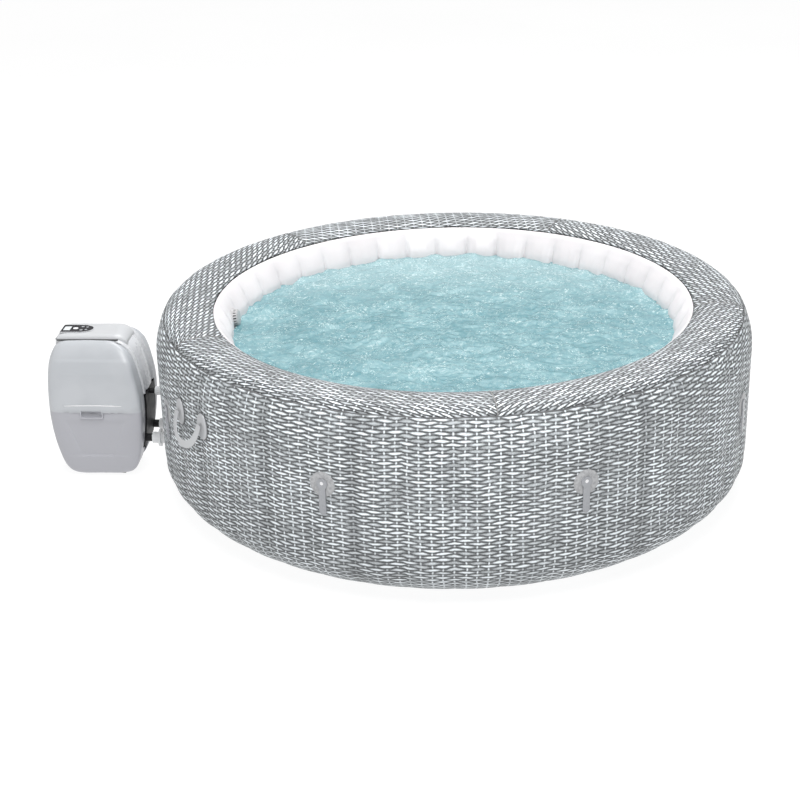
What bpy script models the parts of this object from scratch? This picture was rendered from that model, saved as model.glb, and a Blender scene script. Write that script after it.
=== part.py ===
"""Round inflatable hot tub with its external pump, as separate closed pieces.

Metres, +Z up. The origin is the middle of the tub on the ground, and the pump stands on the -X side.
Run it with: blender --background --python part.py
"""

import math

import bmesh
import bpy
from mathutils import Matrix, Vector

# ---------------------------------------------------------------- driving dimensions
TUB_RADIUS = 1.080
TUB_HEIGHT = 0.710
SKIN = 0.003  # welded vinyl with its lining, as a sheet that holds its shape
RING_STEPS = 55  # facets round the tub: 5 top panels of 11 facets
PANELS = 5
PANEL_START = math.radians(-154.5)  # azimuth of the first mitred seam
GAP = 0.0005  # left between pieces that touch

CORNER_TOP = 0.156  # height and depth of the upper outer corner's quarter ellipse
CORNER_TOP_IN = 0.0775
CORNER_BASE = 0.172  # the same for the lower corner
CORNER_BASE_IN = 0.2946
SEAM_ANGLE = math.radians(56)  # where the wall's print ends on the upper corner
PANEL_INNER = (0.868, 0.692)  # radius and height of the top panels' inner edge
LINER_FOOT = 0.800  # inner wall's radius at the floor
FLOOR_RADIUS = 0.796
BASE_SHEET = 0.004
FLOOR_TOP = 0.0126

BAFFLES = 38
BAFFLE_GAP = math.radians(24)  # left open where the pipes cross the air chamber
JET_RING = (0.765, 0.016)  # bubble ring: radius of its circle and of its tube

CLIP_COUNT = 8
CLIP_START = 22.5  # degrees, first cover clip's azimuth
CLIP_PATCH = (0.043, 0.436)  # radius and height of the welded round patch
CLIP_HINGE = 0.458
HANDLE_AZIMUTHS = (-144.4, 35.6)
HANDLE_HALF = 4.15  # degrees from a handle's middle to each of its pads
HANDLE_HINGE = (0.0120, 0.508)  # distance out from the wall, and height

PUMP_TURN = math.radians(-2.4)  # the pump faces the tub's centre from this side
PUMP_X = -1.329
PUMP_CENTRE_Z = 0.300
PUMP_DEPTH = 0.155  # from its middle plane to the face of each side shell
SPINE_HALF = 0.045  # the side shells' rims stand this far from the middle plane
SPINE_SCALE = 0.94
PUMP_WALL = 0.003
HOOD_HALF = 0.085  # half width of the raised hood and plate on the tub side
HOOD_SCALE = (1.03, 0.90)  # their face and the foot of their sides, against the outline
WATER_PORT = (0.064, 0.150)  # offset to each side, and height
AIR_PORT_Z = 0.316
UNION_FACE = 0.006  # from a wall fitting's end back to its flange

CONSOLE = (-0.142, 0.125, 0.070, 0.512, 0.567)  # ends along X, half width, foot, top
PANEL_TOP = 0.5705
PANEL_SHIFT = (0.010, -0.008)  # the keypad sits off the pump's middle
VALVE_AZIMUTH = 146.0
VALVE_Z = 0.480
DRAIN_AZIMUTH = 140.0
DRAIN_Z = 0.200

# the pump's outline seen from the side: offset from PUMP_X towards the tub, and height
EGG = (
    (0.000, 0.010), (-0.100, 0.011), (-0.142, 0.040), (-0.165, 0.115), (-0.178, 0.215),
    (-0.180, 0.320), (-0.172, 0.430), (-0.156, 0.505), (-0.125, 0.543), (-0.060, 0.550),
    (0.020, 0.550), (0.090, 0.543), (0.138, 0.502), (0.162, 0.425), (0.1755, 0.330),
    (0.172, 0.225), (0.154, 0.115), (0.125, 0.040), (0.075, 0.012),
)  # fmt: skip

WHITE = (0.86, 0.86, 0.88, 1)
LIGHT_GREY = (0.55, 0.56, 0.58, 1)
WOVEN_GREY = (0.36, 0.37, 0.38, 1)
BLACK = (0.02, 0.02, 0.023, 1)


# ---------------------------------------------------------------- scene and helpers
def clear_scene():
    for obj in list(bpy.data.objects):
        bpy.data.objects.remove(obj)


def collection(name):
    made = bpy.data.collections.new(name)
    bpy.context.scene.collection.children.link(made)
    return made


def material(name, colour, roughness=0.45, metallic=0.0):
    made = bpy.data.materials.get(name)
    if made is None:
        made = bpy.data.materials.new(name)
        made.use_nodes = True
        shader = made.node_tree.nodes["Principled BSDF"]
        shader.inputs["Base Color"].default_value = colour
        shader.inputs["Roughness"].default_value = roughness
        shader.inputs["Metallic"].default_value = metallic
    return made


def add(name, mesh, surface, place=None, parent=None, smooth=True):
    """An object in the part's collection, at the matrix place under its parent."""
    obj = bpy.data.objects.new(name, mesh)
    mesh.name = name
    mesh.materials.append(surface)
    PART.objects.link(obj)
    obj.parent = parent
    if place is not None:
        obj.matrix_local = place
    if smooth and isinstance(mesh, bpy.types.Mesh):
        mesh.shade_smooth()
        mesh.set_sharp_from_angle(angle=math.radians(35))
    return obj


def mesh_of(bm):
    mesh = bpy.data.meshes.new("mesh")
    bm.to_mesh(mesh)
    bm.free()
    return mesh


def box_mesh(low, high):
    bm = bmesh.new()
    bmesh.ops.create_cube(bm, size=1)
    size = Vector(high) - Vector(low)
    bmesh.ops.scale(bm, vec=size, verts=bm.verts)
    bmesh.ops.translate(bm, vec=(Vector(low) + Vector(high)) / 2, verts=bm.verts)
    return mesh_of(bm)


def rod_mesh(radius, low, high, segments=16, tip=None):
    """A cylinder along Z from low to high; tip is its radius at the high end."""
    bm = bmesh.new()
    bmesh.ops.create_cone(
        bm, cap_ends=True, segments=segments, radius1=radius,
        radius2=radius if tip is None else tip, depth=high - low,
    )  # fmt: skip
    bmesh.ops.translate(bm, vec=(0, 0, (low + high) / 2), verts=bm.verts)
    return mesh_of(bm)


def line_mesh(points, closed=False):
    bm = bmesh.new()
    verts = [bm.verts.new(p) for p in points]
    for first, second in zip(verts, verts[1:]):
        bm.edges.new((first, second))
    if closed:
        bm.edges.new((verts[-1], verts[0]))
    return mesh_of(bm)


def screw(obj, steps, angle=2 * math.pi):
    turn = obj.modifiers.new("turn", "SCREW")
    turn.angle = angle
    turn.steps = steps
    turn.render_steps = steps
    turn.use_merge_vertices = True
    turn.merge_threshold = 0.00005
    return obj


def solidify(obj, thickness, offset=-1.0):
    shell = obj.modifiers.new("thickness", "SOLIDIFY")
    shell.thickness = thickness
    shell.offset = offset
    return obj


def bevel(obj, width, segments=2):
    edge = obj.modifiers.new("edges", "BEVEL")
    edge.width = width
    edge.segments = segments
    edge.limit_method = "ANGLE"
    return obj


def turned(name, profile, surface, steps, place=None, parent=None):
    """A ring from a closed profile of (radius, height): its outer side runs top to bottom."""
    points = [(r, 0, z) for r, z in profile]
    return screw(add(name, line_mesh(points, True), surface, place, parent), steps)


def cutter(name, mesh, place=None, parent=None):
    obj = bpy.data.objects.new(name, mesh)
    CUTTERS.objects.link(obj)
    obj.parent = parent
    if place is not None:
        obj.matrix_local = place
    obj.hide_render = True
    obj.display_type = "WIRE"
    return obj


def combine(obj, tool, operation="DIFFERENCE"):
    change = obj.modifiers.new(tool.name, "BOOLEAN")
    change.operation = operation
    change.object = tool
    return obj


def flat_plate(name, outlines, thickness, surface, place=None, parent=None):
    """A plate in its own XY plane from outlines; those inside the first are holes."""
    curve = bpy.data.curves.new(name, "CURVE")
    curve.dimensions = "2D"
    curve.fill_mode = "BOTH"
    curve.extrude = thickness / 2
    for outline in outlines:
        spline = curve.splines.new("POLY")
        spline.points.add(len(outline) - 1)
        for point, (x, y) in zip(spline.points, outline):
            point.co = (x, y, 0, 1)
        spline.use_cyclic_u = True
    return add(name, curve, surface, place, parent)


def circle(radius, count, centre=(0, 0), start=0.0, sweep=2 * math.pi, squash=1.0):
    """Points on an arc; a whole circle doesn't repeat its first point."""
    spaces = count if abs(sweep) > 6.28 else count - 1
    angles = [start + sweep * i / spaces for i in range(count)]
    return [
        (centre[0] + radius * math.cos(a), centre[1] + squash * radius * math.sin(a))
        for a in angles
    ]


def smooth_loop(points, each):
    """A closed Catmull-Rom curve through the points, with each steps between two."""
    made = []
    count = len(points)
    for i in range(count):
        a, b, c, d = (Vector(points[(i + k) % count]) for k in (-1, 0, 1, 2))
        for step in range(each):
            t = step / each
            made.append(
                0.5 * (2 * b + (c - a) * t + (2 * a - 5 * b + 4 * c - d) * t * t
                       + (3 * b - a - 3 * c + d) * t ** 3)
            )  # fmt: skip
    return made


def wall_frame(azimuth, radius=TUB_RADIUS, height=0.0):
    """Axes on the wall at an azimuth in degrees: X along the wall, Y outward, Z up."""
    a = math.radians(azimuth)
    spot = Matrix.Translation((radius * math.cos(a), radius * math.sin(a), height))
    return spot @ Matrix.Rotation(a - math.pi / 2, 4, "Z")


ALONG_X = Matrix.Rotation(math.pi / 2, 4, "Y")  # turns a piece's Z to +X
ALONG_Y = Matrix.Rotation(-math.pi / 2, 4, "X")  # turns a piece's Z to +Y


def at(x, y, z, turn=None):
    spot = Matrix.Translation((x, y, z))
    return spot if turn is None else spot @ turn


# ---------------------------------------------------------------- tub
def upper_corner(a):
    """Radius and height on the upper corner's quarter ellipse, at an angle up from the wall."""
    r = TUB_RADIUS - CORNER_TOP_IN * (1 - math.cos(a))
    return r, TUB_HEIGHT - 0.001 - CORNER_TOP * (1 - math.sin(a))


def outer_profile():
    """The wall's outer skin, from the seam at the top down and under to the base sheet."""
    points = [upper_corner(SEAM_ANGLE * (1 - i / 3)) for i in range(4)]
    for i in range(5):
        a = math.radians(86) * i / 4
        r = TUB_RADIUS - CORNER_BASE_IN * (1 - math.cos(a))
        points.append((r, CORNER_BASE * (1 - math.sin(a))))
    return points


def pipe_cutters(prefix, low, high):
    """Holes for the two water pipes and the air pipe, along the pump's X."""
    made = []
    for label, y, z, radius, _, _ in PORTS:
        mesh = rod_mesh(radius + 0.0015, low, high, 20)
        made.append(cutter(f"{prefix}_{label}_hole", mesh, at(0, y, z, ALONG_X), PUMP_AXES))
    return made


def side_hole(name, azimuth, height, radius, low, high):
    place = wall_frame(azimuth, 0.0, height) @ ALONG_Y
    return cutter(name, rod_mesh(radius, low, high, 20), place)


def make_outer_wall():
    surface = material("woven_wall", WOVEN_GREY, 0.55)
    points = [(r, 0, z) for r, z in outer_profile()]
    start = Matrix.Rotation(PANEL_START, 4, "Z")
    wall = solidify(screw(add("outer_wall", line_mesh(points), surface, start), RING_STEPS), SKIN)
    for tool in pipe_cutters("outer", -1.12, -1.03):
        combine(wall, tool)
    combine(wall, side_hole("valve_hole", VALVE_AZIMUTH, VALVE_Z, 0.0215, 1.0, 1.2))
    combine(wall, side_hole("drain_hole", DRAIN_AZIMUTH, DRAIN_Z, 0.0175, 1.0, 1.2))
    radius, height = CLIP_PATCH
    for i in range(CLIP_COUNT):
        place = wall_frame(CLIP_START + i * 360 / CLIP_COUNT, TUB_RADIUS, height) @ ALONG_Y
        patch = cutter(f"clip_patch_{i + 1}", rod_mesh(radius, -0.0024, 0.0014, 20), place)
        combine(wall, patch, "UNION")


def make_top_panels():
    surface = material("woven_top", WOVEN_GREY, 0.55)
    profile = []
    inner_r, inner_z = PANEL_INNER
    for i in range(3):
        a = SEAM_ANGLE + math.radians(1.2) + (math.pi / 2 - SEAM_ANGLE) * i / 2
        r, z = upper_corner(min(a, math.pi / 2))
        profile.append((r, 0, z))
    profile.append((0.955, 0, TUB_HEIGHT))
    profile.append((0.910, 0, TUB_HEIGHT - 0.005))
    profile.append((inner_r, 0, inner_z))
    sweep = 2 * math.pi / PANELS - GAP
    for i in range(PANELS):
        turn = Matrix.Rotation(PANEL_START + 2 * math.pi * i / PANELS + GAP / 2, 4, "Z")
        panel = add(f"top_panel_{i + 1}", line_mesh(profile[::-1]), surface, turn)
        screw(panel, RING_STEPS // PANELS, sweep)
        solidify(panel, SKIN, -1.0)


def make_inner_wall():
    """The liner, from the top panels' inner edge down to the floor, facing the water."""
    surface = material("liner", WHITE, 0.35)
    inner_r, inner_z = PANEL_INNER
    rows = (
        (LINER_FOOT, BASE_SHEET + GAP),
        (LINER_FOOT, 0.120),
        (LINER_FOOT + 0.002, 0.300),
        (LINER_FOOT + 0.010, 0.480),
        (LINER_FOOT + 0.020, 0.600),
        (LINER_FOOT + 0.032, 0.650),
        (LINER_FOOT + 0.046, 0.678),
        (inner_r - 0.0032, inner_z - 0.0005),
    )
    start = Matrix.Rotation(PANEL_START, 4, "Z")
    points = [(r, 0, z) for r, z in rows]
    wall = screw(add("inner_wall", line_mesh(points), surface, start), RING_STEPS)
    solidify(wall, SKIN, -1.0)
    for tool in pipe_cutters("inner", -0.86, -0.76):
        combine(wall, tool)
    combine(wall, side_hole("drain_inner_hole", DRAIN_AZIMUTH, DRAIN_Z, 0.0175, 0.75, 0.85))


def make_floor():
    turn = Matrix.Rotation(PANEL_START, 4, "Z")
    vinyl = material("liner", WHITE, 0.35)
    low = BASE_SHEET + GAP
    add("tub_floor", rod_mesh(FLOOR_RADIUS, low, FLOOR_TOP, RING_STEPS), vinyl, turn)
    under = material("base_vinyl", (0.16, 0.17, 0.18, 1), 0.6)
    add("base_sheet", rod_mesh(LINER_FOOT + 0.0025, 0, BASE_SHEET, RING_STEPS), under, turn)
    ring_r, tube_r = JET_RING
    bm = bmesh.new()
    bmesh.ops.create_circle(bm, segments=6, radius=tube_r)
    bmesh.ops.rotate(bm, matrix=Matrix.Rotation(math.pi / 2, 3, "X"), verts=bm.verts)
    bmesh.ops.translate(bm, vec=(ring_r, 0, 0), verts=bm.verts)
    bmesh.ops.reverse_faces(bm, faces=bm.faces)
    place = at(0, 0, FLOOR_TOP + GAP + tube_r)
    screw(add("air_jet_ring", mesh_of(bm), vinyl, place), 52)


def make_baffles():
    """Webs that tie the outer wall to the liner: one folded strip, open where the pipes cross."""
    surface = material("web_vinyl", (0.7, 0.7, 0.72, 1), 0.5)
    first = math.pi + PUMP_TURN + BAFFLE_GAP / 2
    sweep = 2 * math.pi - BAFFLE_GAP
    low, high = 0.24, 0.53
    bm = bmesh.new()
    rows = []
    for i in range(2 * BAFFLES + 1):
        a = first + sweep * i / (2 * BAFFLES)
        r = 1.050 if i % 2 else 0.840
        rows.append([bm.verts.new((r * math.cos(a), r * math.sin(a), z)) for z in (low, high)])
    for (a, b), (c, d) in zip(rows, rows[1:]):
        bm.faces.new((a, c, d, b))
    solidify(add("wall_baffles", mesh_of(bm), surface, smooth=False), 0.002, 0.0)


def leaf_outline(width, height, points=9):
    """Two arcs that meet in a point at the top and the bottom."""
    half = height / 2
    side = [math.pi * i / (points - 1) - math.pi / 2 for i in range(points)]
    right = [(width / 2 * math.cos(a) ** 0.8, half * math.sin(a)) for a in side[1:-1]]
    left = [(-x, z) for x, z in reversed(right)]
    return [(0, -half), *right, (0, half), *left]


def make_handles():
    surface = material("grey_moulding", LIGHT_GREY, 0.4)
    out, hinge_z = HANDLE_HINGE
    for h, azimuth in enumerate(HANDLE_AZIMUTHS):
        for side, sign in enumerate((-1, 1)):
            frame = wall_frame(azimuth + sign * HANDLE_HALF, TUB_RADIUS, 0.500)
            upright = frame @ at(0, 0.0007 + 0.0035, 0) @ Matrix.Rotation(math.pi / 2, 4, "X")
            name = f"handle_pad_{2 * h + side + 1}"
            flat_plate(name, [leaf_outline(0.038, 0.092)], 0.007, surface, upright)
        make_strap(f"handle_strap_{h + 1}", azimuth, out, hinge_z, surface)


def make_strap(name, azimuth, out, hinge_z, surface):
    """A flat band that hangs in a U from pad to pad, with its origin on the swing axis."""
    half = TUB_RADIUS * math.sin(math.radians(HANDLE_HALF))
    drop, reach, width = 0.090, 0.028, 0.020
    bm = bmesh.new()
    rows = []
    count = 17
    for i in range(count):
        u = -1 + 2 * i / (count - 1)
        a = math.pi / 2 * u
        x = half * math.sin(a)
        fall = math.cos(a) ** 0.75
        middle = Vector((x, reach * fall, -drop * fall))
        along = Vector((math.cos(a) + 0.05, 0, drop / half * math.sin(a))).normalized()
        across = Vector((-along.z, 0, along.x)) * width / 2
        rows.append([bm.verts.new(middle - across), bm.verts.new(middle + across)])
    for (a, b), (c, d) in zip(rows, rows[1:]):
        bm.faces.new((a, b, d, c))
    place = wall_frame(azimuth, TUB_RADIUS + out, hinge_z)
    solidify(add(name, mesh_of(bm), surface, place), 0.004, 0.0)


def clip_outline():
    """A round buckle that narrows to a tail with a rounded end, hanging from the hinge line."""
    head = circle(0.0190, 13, (0, -0.020), math.radians(-50), math.radians(280))
    tail = circle(0.0115, 7, (0, -0.116), math.radians(180), math.radians(180))
    return head + tail


def make_clips():
    surface = material("grey_moulding", LIGHT_GREY, 0.4)
    for i in range(CLIP_COUNT):
        place = wall_frame(CLIP_START + i * 360 / CLIP_COUNT, TUB_RADIUS, CLIP_HINGE)
        upright = place @ at(0, 0.0045, 0) @ Matrix.Rotation(math.pi / 2, 4, "X")
        flat_plate(f"cover_clip_{i + 1}", [clip_outline()], 0.005, surface, upright)


def make_air_valve():
    surface = material("grey_moulding", LIGHT_GREY, 0.4)
    place = wall_frame(VALVE_AZIMUTH, TUB_RADIUS, VALVE_Z) @ ALONG_Y
    body = (
        (0.0350, 0.0050), (0.0350, 0.0010), (0.0200, 0.0010), (0.0200, -0.0300),
        (0.0150, -0.0300), (0.0150, 0.0120), (0.0200, 0.0120), (0.0200, 0.0050),
    )  # fmt: skip
    turned("air_valve_body", body, surface, 24, place)
    cap = (
        (0.0240, 0.0180), (0.0240, 0.0060), (0.0206, 0.0060), (0.0206, 0.0126),
        (0.0010, 0.0126), (0.0010, 0.0180),
    )  # fmt: skip
    turned("air_valve_cap", cap, surface, 24, place)


def make_drain():
    surface = material("grey_moulding", LIGHT_GREY, 0.4)
    place = wall_frame(DRAIN_AZIMUTH, TUB_RADIUS, DRAIN_Z) @ ALONG_Y
    body = (
        (0.0300, 0.0050), (0.0300, 0.0010), (0.0160, 0.0010), (0.0160, -0.2820),
        (0.0120, -0.2820), (0.0120, 0.0200), (0.0160, 0.0200), (0.0160, 0.0050),
    )  # fmt: skip
    turned("drain_body", body, surface, 20, place)
    cap = (
        (0.0205, 0.0270), (0.0205, 0.0060), (0.0166, 0.0060), (0.0166, 0.0206),
        (0.0010, 0.0206), (0.0010, 0.0270),
    )  # fmt: skip
    turned("drain_cap", cap, surface, 20, place)


def make_wall_fittings():
    """Flanged pipes through the wall for the water and the air, along the pump's X."""
    surface = material("clear_union", (0.75, 0.77, 0.78, 1), 0.25)
    for label, y, z, radius, flange, end in PORTS:
        wall = -1.0830 if y else -1.0820
        seat = end + UNION_FACE
        bore, boss = radius - 0.0035, radius + 0.007
        profile = (
            (radius, -0.785), (radius, wall), (boss, wall), (boss, seat + 0.008),
            (flange, seat + 0.008), (flange, seat), (radius, seat), (radius, end + GAP / 2),
            (bore, end + GAP / 2), (bore, -0.785),
        )  # fmt: skip
        turned(f"{label}_wall_fitting", profile, surface, 20, at(0, y, z, ALONG_X), PUMP_AXES)


def make_debris_screen():
    """The slotted oval guard on the liner near the water line."""
    surface = material("white_moulding", WHITE, 0.3)
    tilt = Matrix.Rotation(math.radians(-9), 4, "X")
    place = wall_frame(175.0, 0.8145, 0.600) @ tilt @ Matrix.Rotation(math.pi / 2, 4, "X")
    oval = circle(0.028, 20, squash=1.45)
    slots = []
    for i in range(5):
        z = -0.026 + 0.013 * i
        half = 0.017 - 0.0035 * abs(i - 2)
        slots.append([(-half, z - 0.003), (half, z - 0.003), (half, z + 0.003), (-half, z + 0.003)])
    flat_plate("debris_screen", [oval, *slots], 0.006, surface, place)


# ---------------------------------------------------------------- pump
def depth_at(z):
    """How far a side shell's face stands from the middle plane at a height."""
    low = 0.040 * max(0.0, (PUMP_CENTRE_Z - z) / PUMP_CENTRE_Z) ** 1.5
    high = 0.045 * max(0.0, (z - 0.44) / 0.12) ** 1.6
    return PUMP_DEPTH - low - high


def make_side_shell(name, sign):
    outline = smooth_loop(EGG, 2)
    surface = material("pump_shell", (0.50, 0.52, 0.54, 1), 0.38)
    bm = bmesh.new()
    rings = []
    levels = 7
    for k in range(levels):
        a = math.pi / 2 * k / levels
        scale, lift = math.cos(a) ** 0.40, math.sin(a) ** 0.40
        ring = []
        for dx, z in outline:
            height = PUMP_CENTRE_Z + (z - PUMP_CENTRE_Z) * scale
            reach = SPINE_HALF + (depth_at(height) - SPINE_HALF) * lift
            ring.append(bm.verts.new((PUMP_X + dx * scale, sign * reach, height)))
        rings.append(ring)
    middle = bm.verts.new((PUMP_X, sign * depth_at(PUMP_CENTRE_Z), PUMP_CENTRE_Z))
    for lower, upper in zip(rings, rings[1:]):
        for i in range(len(outline)):
            j = (i + 1) % len(outline)
            bm.faces.new((lower[i], lower[j], upper[j], upper[i]))
    for i in range(len(outline)):
        bm.faces.new((rings[-1][i], rings[-1][(i + 1) % len(outline)], middle))
    bmesh.ops.recalc_face_normals(bm, faces=bm.faces)
    outward = sum(f.normal.y * f.calc_area() for f in bm.faces) * sign
    if outward < 0:
        bmesh.ops.reverse_faces(bm, faces=bm.faces)
    shell = solidify(add(name, mesh_of(bm), surface, parent=PUMP_AXES), PUMP_WALL)
    combine(shell, bpy.data.objects["hood_notch"])
    combine(shell, bpy.data.objects["console_notch"])
    combine(shell, bpy.data.objects["grip_slot"])


def make_pump_cutters():
    low, high, half, foot, _ = CONSOLE
    corner = (PUMP_X + low - 0.001, -half - 0.001, foot - GAP)
    notch = box_mesh(corner, (PUMP_X + high + 0.001, half + 0.001, 0.62))
    cutter("console_notch", notch, parent=PUMP_AXES)
    half = HOOD_HALF + 0.001
    hood = box_mesh((PUMP_X + 0.090, -half, 0.112), (PUMP_X + 0.250, half, 0.62))
    cutter("hood_notch", hood, parent=PUMP_AXES)
    slot = box_mesh((PUMP_X - 0.053, -0.2, 0.268), (PUMP_X + 0.030, 0.2, 0.298))
    cutter("grip_slot", slot, parent=PUMP_AXES)


def on_outline(point, scale):
    """A point of the pump's outline, drawn in or out about the pump's middle."""
    dx, z = point
    return PUMP_X + dx * scale, PUMP_CENTRE_Z + (z - PUMP_CENTRE_Z) * scale


def tub_side(heights, scale):
    """Points of the outline's tub side that stand at these heights once scaled."""
    side = [p for p in smooth_loop(EGG, 2) if p[0] > 0.05 and p[1] < 0.549]
    side.sort(key=lambda p: p[1])
    made = []
    for height in heights:
        wanted = PUMP_CENTRE_Z + (height - PUMP_CENTRE_Z) / scale
        for a, b in zip(side, side[1:]):
            if a[1] <= wanted <= b[1]:
                made.append(a.lerp(b, (wanted - a[1]) / (b[1] - a[1])))
                break
    return made


def strip(name, rows, surface):
    """An open sheet through rows of points, thickened inwards."""
    bm = bmesh.new()
    made = [[bm.verts.new(p) for p in row] for row in rows]
    for lower, upper in zip(made, made[1:]):
        for i in range(len(lower) - 1):
            bm.faces.new((lower[i], lower[i + 1], upper[i + 1], upper[i]))
    return solidify(add(name, mesh_of(bm), surface, parent=PUMP_AXES), PUMP_WALL, -1.0)


def make_spine():
    """The band between the side shells, from under the console's outer end round to the plate."""
    surface = material("pump_spine", (0.36, 0.37, 0.39, 1), 0.4)
    outline = smooth_loop(EGG, 2)
    last = max(i for i, p in enumerate(outline) if p[0] < -0.1 and p[1] < 0.520)
    first = min(i for i, p in enumerate(outline) if p[0] > 0.05 and p[1] < 0.085)
    rows = []
    for point in outline[first:] + outline[: last + 1]:
        x, z = on_outline(point, SPINE_SCALE)
        rows.append([(x, y, z) for y in (-0.060, 0.060)])
    strip("pump_spine", rows[::-1], surface)


def channel_rows(heights):
    """Rows across a channel on the tub side: foot, two edges of its face, foot."""
    rows = []
    outer, inner = HOOD_SCALE
    for point in tub_side(heights, outer):
        x, z = on_outline(point, outer)
        foot_x, _ = on_outline(point, inner)
        half = HOOD_HALF
        rows.append([(foot_x, -half, z), (x - 0.006, -half, z), (x, -half + 0.008, z),
                     (x, half - 0.008, z), (x - 0.006, half, z), (foot_x, half, z)])  # fmt: skip
    return rows


def make_hood():
    """The cover that carries the console's line down the tub side."""
    surface = material("pump_spine", (0.36, 0.37, 0.39, 1), 0.4)
    rows = channel_rows((0.337, 0.375, 0.415, 0.455, 0.485, 0.510))
    strip("pump_hood", rows, surface)


def make_back_plate():
    """The dark plate under the hood, with the three moulded spigots."""
    surface = material("black_plate", BLACK, 0.5)
    plate = strip("pump_back_plate", channel_rows((0.116, 0.170, 0.230, 0.290, 0.333)), surface)
    for label, y, z, radius, _, end in PORTS:
        place = at(0, y, z, ALONG_X)
        pipe = rod_mesh(radius, end - 0.054, end - GAP / 2, 20)
        combine(plate, cutter(f"{label}_spigot", pipe, place, PUMP_AXES), "UNION")
    for label, y, z, radius, _, end in PORTS:
        place = at(0, y, z, ALONG_X)
        bore = rod_mesh(radius - 0.0035, end - 0.070, end + 0.010, 20)
        combine(plate, cutter(f"{label}_bore", bore, place, PUMP_AXES))


def make_coupling_nuts():
    surface = material("clear_union", (0.75, 0.77, 0.78, 1), 0.25)
    for i, (label, y, z, radius, _, end) in enumerate(PORTS):
        inner, outer = radius + 0.0008, radius + 0.0065
        low, high = end - 0.020, end + UNION_FACE - 0.001
        profile = ((outer, high), (outer, low), (inner, low), (inner, high))
        place = at(0, y, z, ALONG_X)
        turned(f"coupling_nut_{i + 1}", profile, surface, 16, place, PUMP_AXES)


def make_console():
    """The raised tongue on top: a rounded cap, open below, that drops at its tub end."""
    low, high, half, foot, top = CONSOLE
    surface = material("pump_console", (0.70, 0.71, 0.73, 1), 0.35)
    bm = bmesh.new()
    bmesh.ops.create_grid(bm, x_segments=14, y_segments=10, size=1)
    for vert in bm.verts:
        u, v = (math.sin(math.pi / 2 * c) for c in (vert.co.x, vert.co.y))
        rise = ((1 - abs(u) ** 8) * (1 - abs(v) ** 8)) ** 0.125
        bend = max(0.0, (u - 0.45) / 0.55) ** 2 * 0.022
        narrow = 1 - 0.25 * max(0.0, (u - 0.6) / 0.4) ** 2
        x = PUMP_X + (low + high) / 2 + u * (high - low) / 2
        vert.co = (x, v * half * narrow, foot + (top - foot - bend) * rise)
    console = add("pump_console", mesh_of(bm), surface, parent=PUMP_AXES)
    solidify(console, 0.003, -1.0)


def make_control_panel():
    """The dark keypad: square at the outer end and rounded towards the tub."""
    surface = material("keypad", (0.015, 0.015, 0.018, 1), 0.25)
    middle_x, middle_y = PUMP_X + PANEL_SHIFT[0], PANEL_SHIFT[1]
    place = at(middle_x, middle_y, PANEL_TOP - 0.0015)
    end = circle(0.036, 13, (-0.072, 0), -math.pi / 2, math.pi)
    end = [(-0.072 + (x + 0.072) * 1.4, y) for x, y in end]
    outline = [(-0.138, -0.036), *end, (-0.138, 0.036)]
    (low_x, low_y), (high_x, high_y) = DISPLAY
    window = [(low_x, low_y), (high_x, low_y), (high_x, high_y), (low_x, high_y)]
    holes = [circle(radius + 0.0005, 16, (x, y)) for _, x, y, radius in BUTTONS]
    flat_plate("control_panel", [outline, window, *holes], 0.003, surface, place, PUMP_AXES)
    glass = material("display", (0.75, 0.78, 0.80, 1), 0.15)
    low = (middle_x + low_x + GAP, middle_y + low_y + GAP, PANEL_TOP - 0.0027)
    high = (middle_x + high_x - GAP, middle_y + high_y - GAP, PANEL_TOP + 0.0002)
    add("display_window", box_mesh(low, high), glass, parent=PUMP_AXES)


def make_buttons():
    for label, x, y, radius in BUTTONS:
        surface = material("key_white" if radius > 0.007 else "key_grey", WHITE, 0.35)
        place = at(PUMP_X + PANEL_SHIFT[0] + x, PANEL_SHIFT[1] + y, PANEL_TOP - 0.0008)
        add(f"button_{label}", rod_mesh(radius, -0.001, 0.0016, 14), surface, place, PUMP_AXES)


def make_base():
    surface = material("black_plate", BLACK, 0.5)
    mesh = box_mesh((PUMP_X - 0.085, -0.070, 0), (PUMP_X + 0.075, 0.070, 0.0080))
    bevel(add("pump_base", mesh, surface, parent=PUMP_AXES), 0.003, 1)
    gland = ((0.0110, 0.0160), (0.0135, 0.0), (0.0045, 0.0), (0.0045, 0.0160))
    place = at(PUMP_X - 0.1590, 0, 0.1240) @ Matrix.Rotation(math.radians(-105), 4, "Y")
    turned("cable_gland", gland, surface, 14, place, PUMP_AXES)


def star_outline(blades, inner, outer, lean):
    """A wheel's outline with thin leaning blades."""
    points = []
    pitch = 2 * math.pi / blades
    blade = ((inner, 0.30), (outer, 0.34 + lean), (outer, 0.50 + lean), (inner, 0.60))
    for i in range(blades):
        for radius, share in blade:
            a = pitch * (i + share)
            points.append((radius * math.cos(a), radius * math.sin(a)))
    return points


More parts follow.
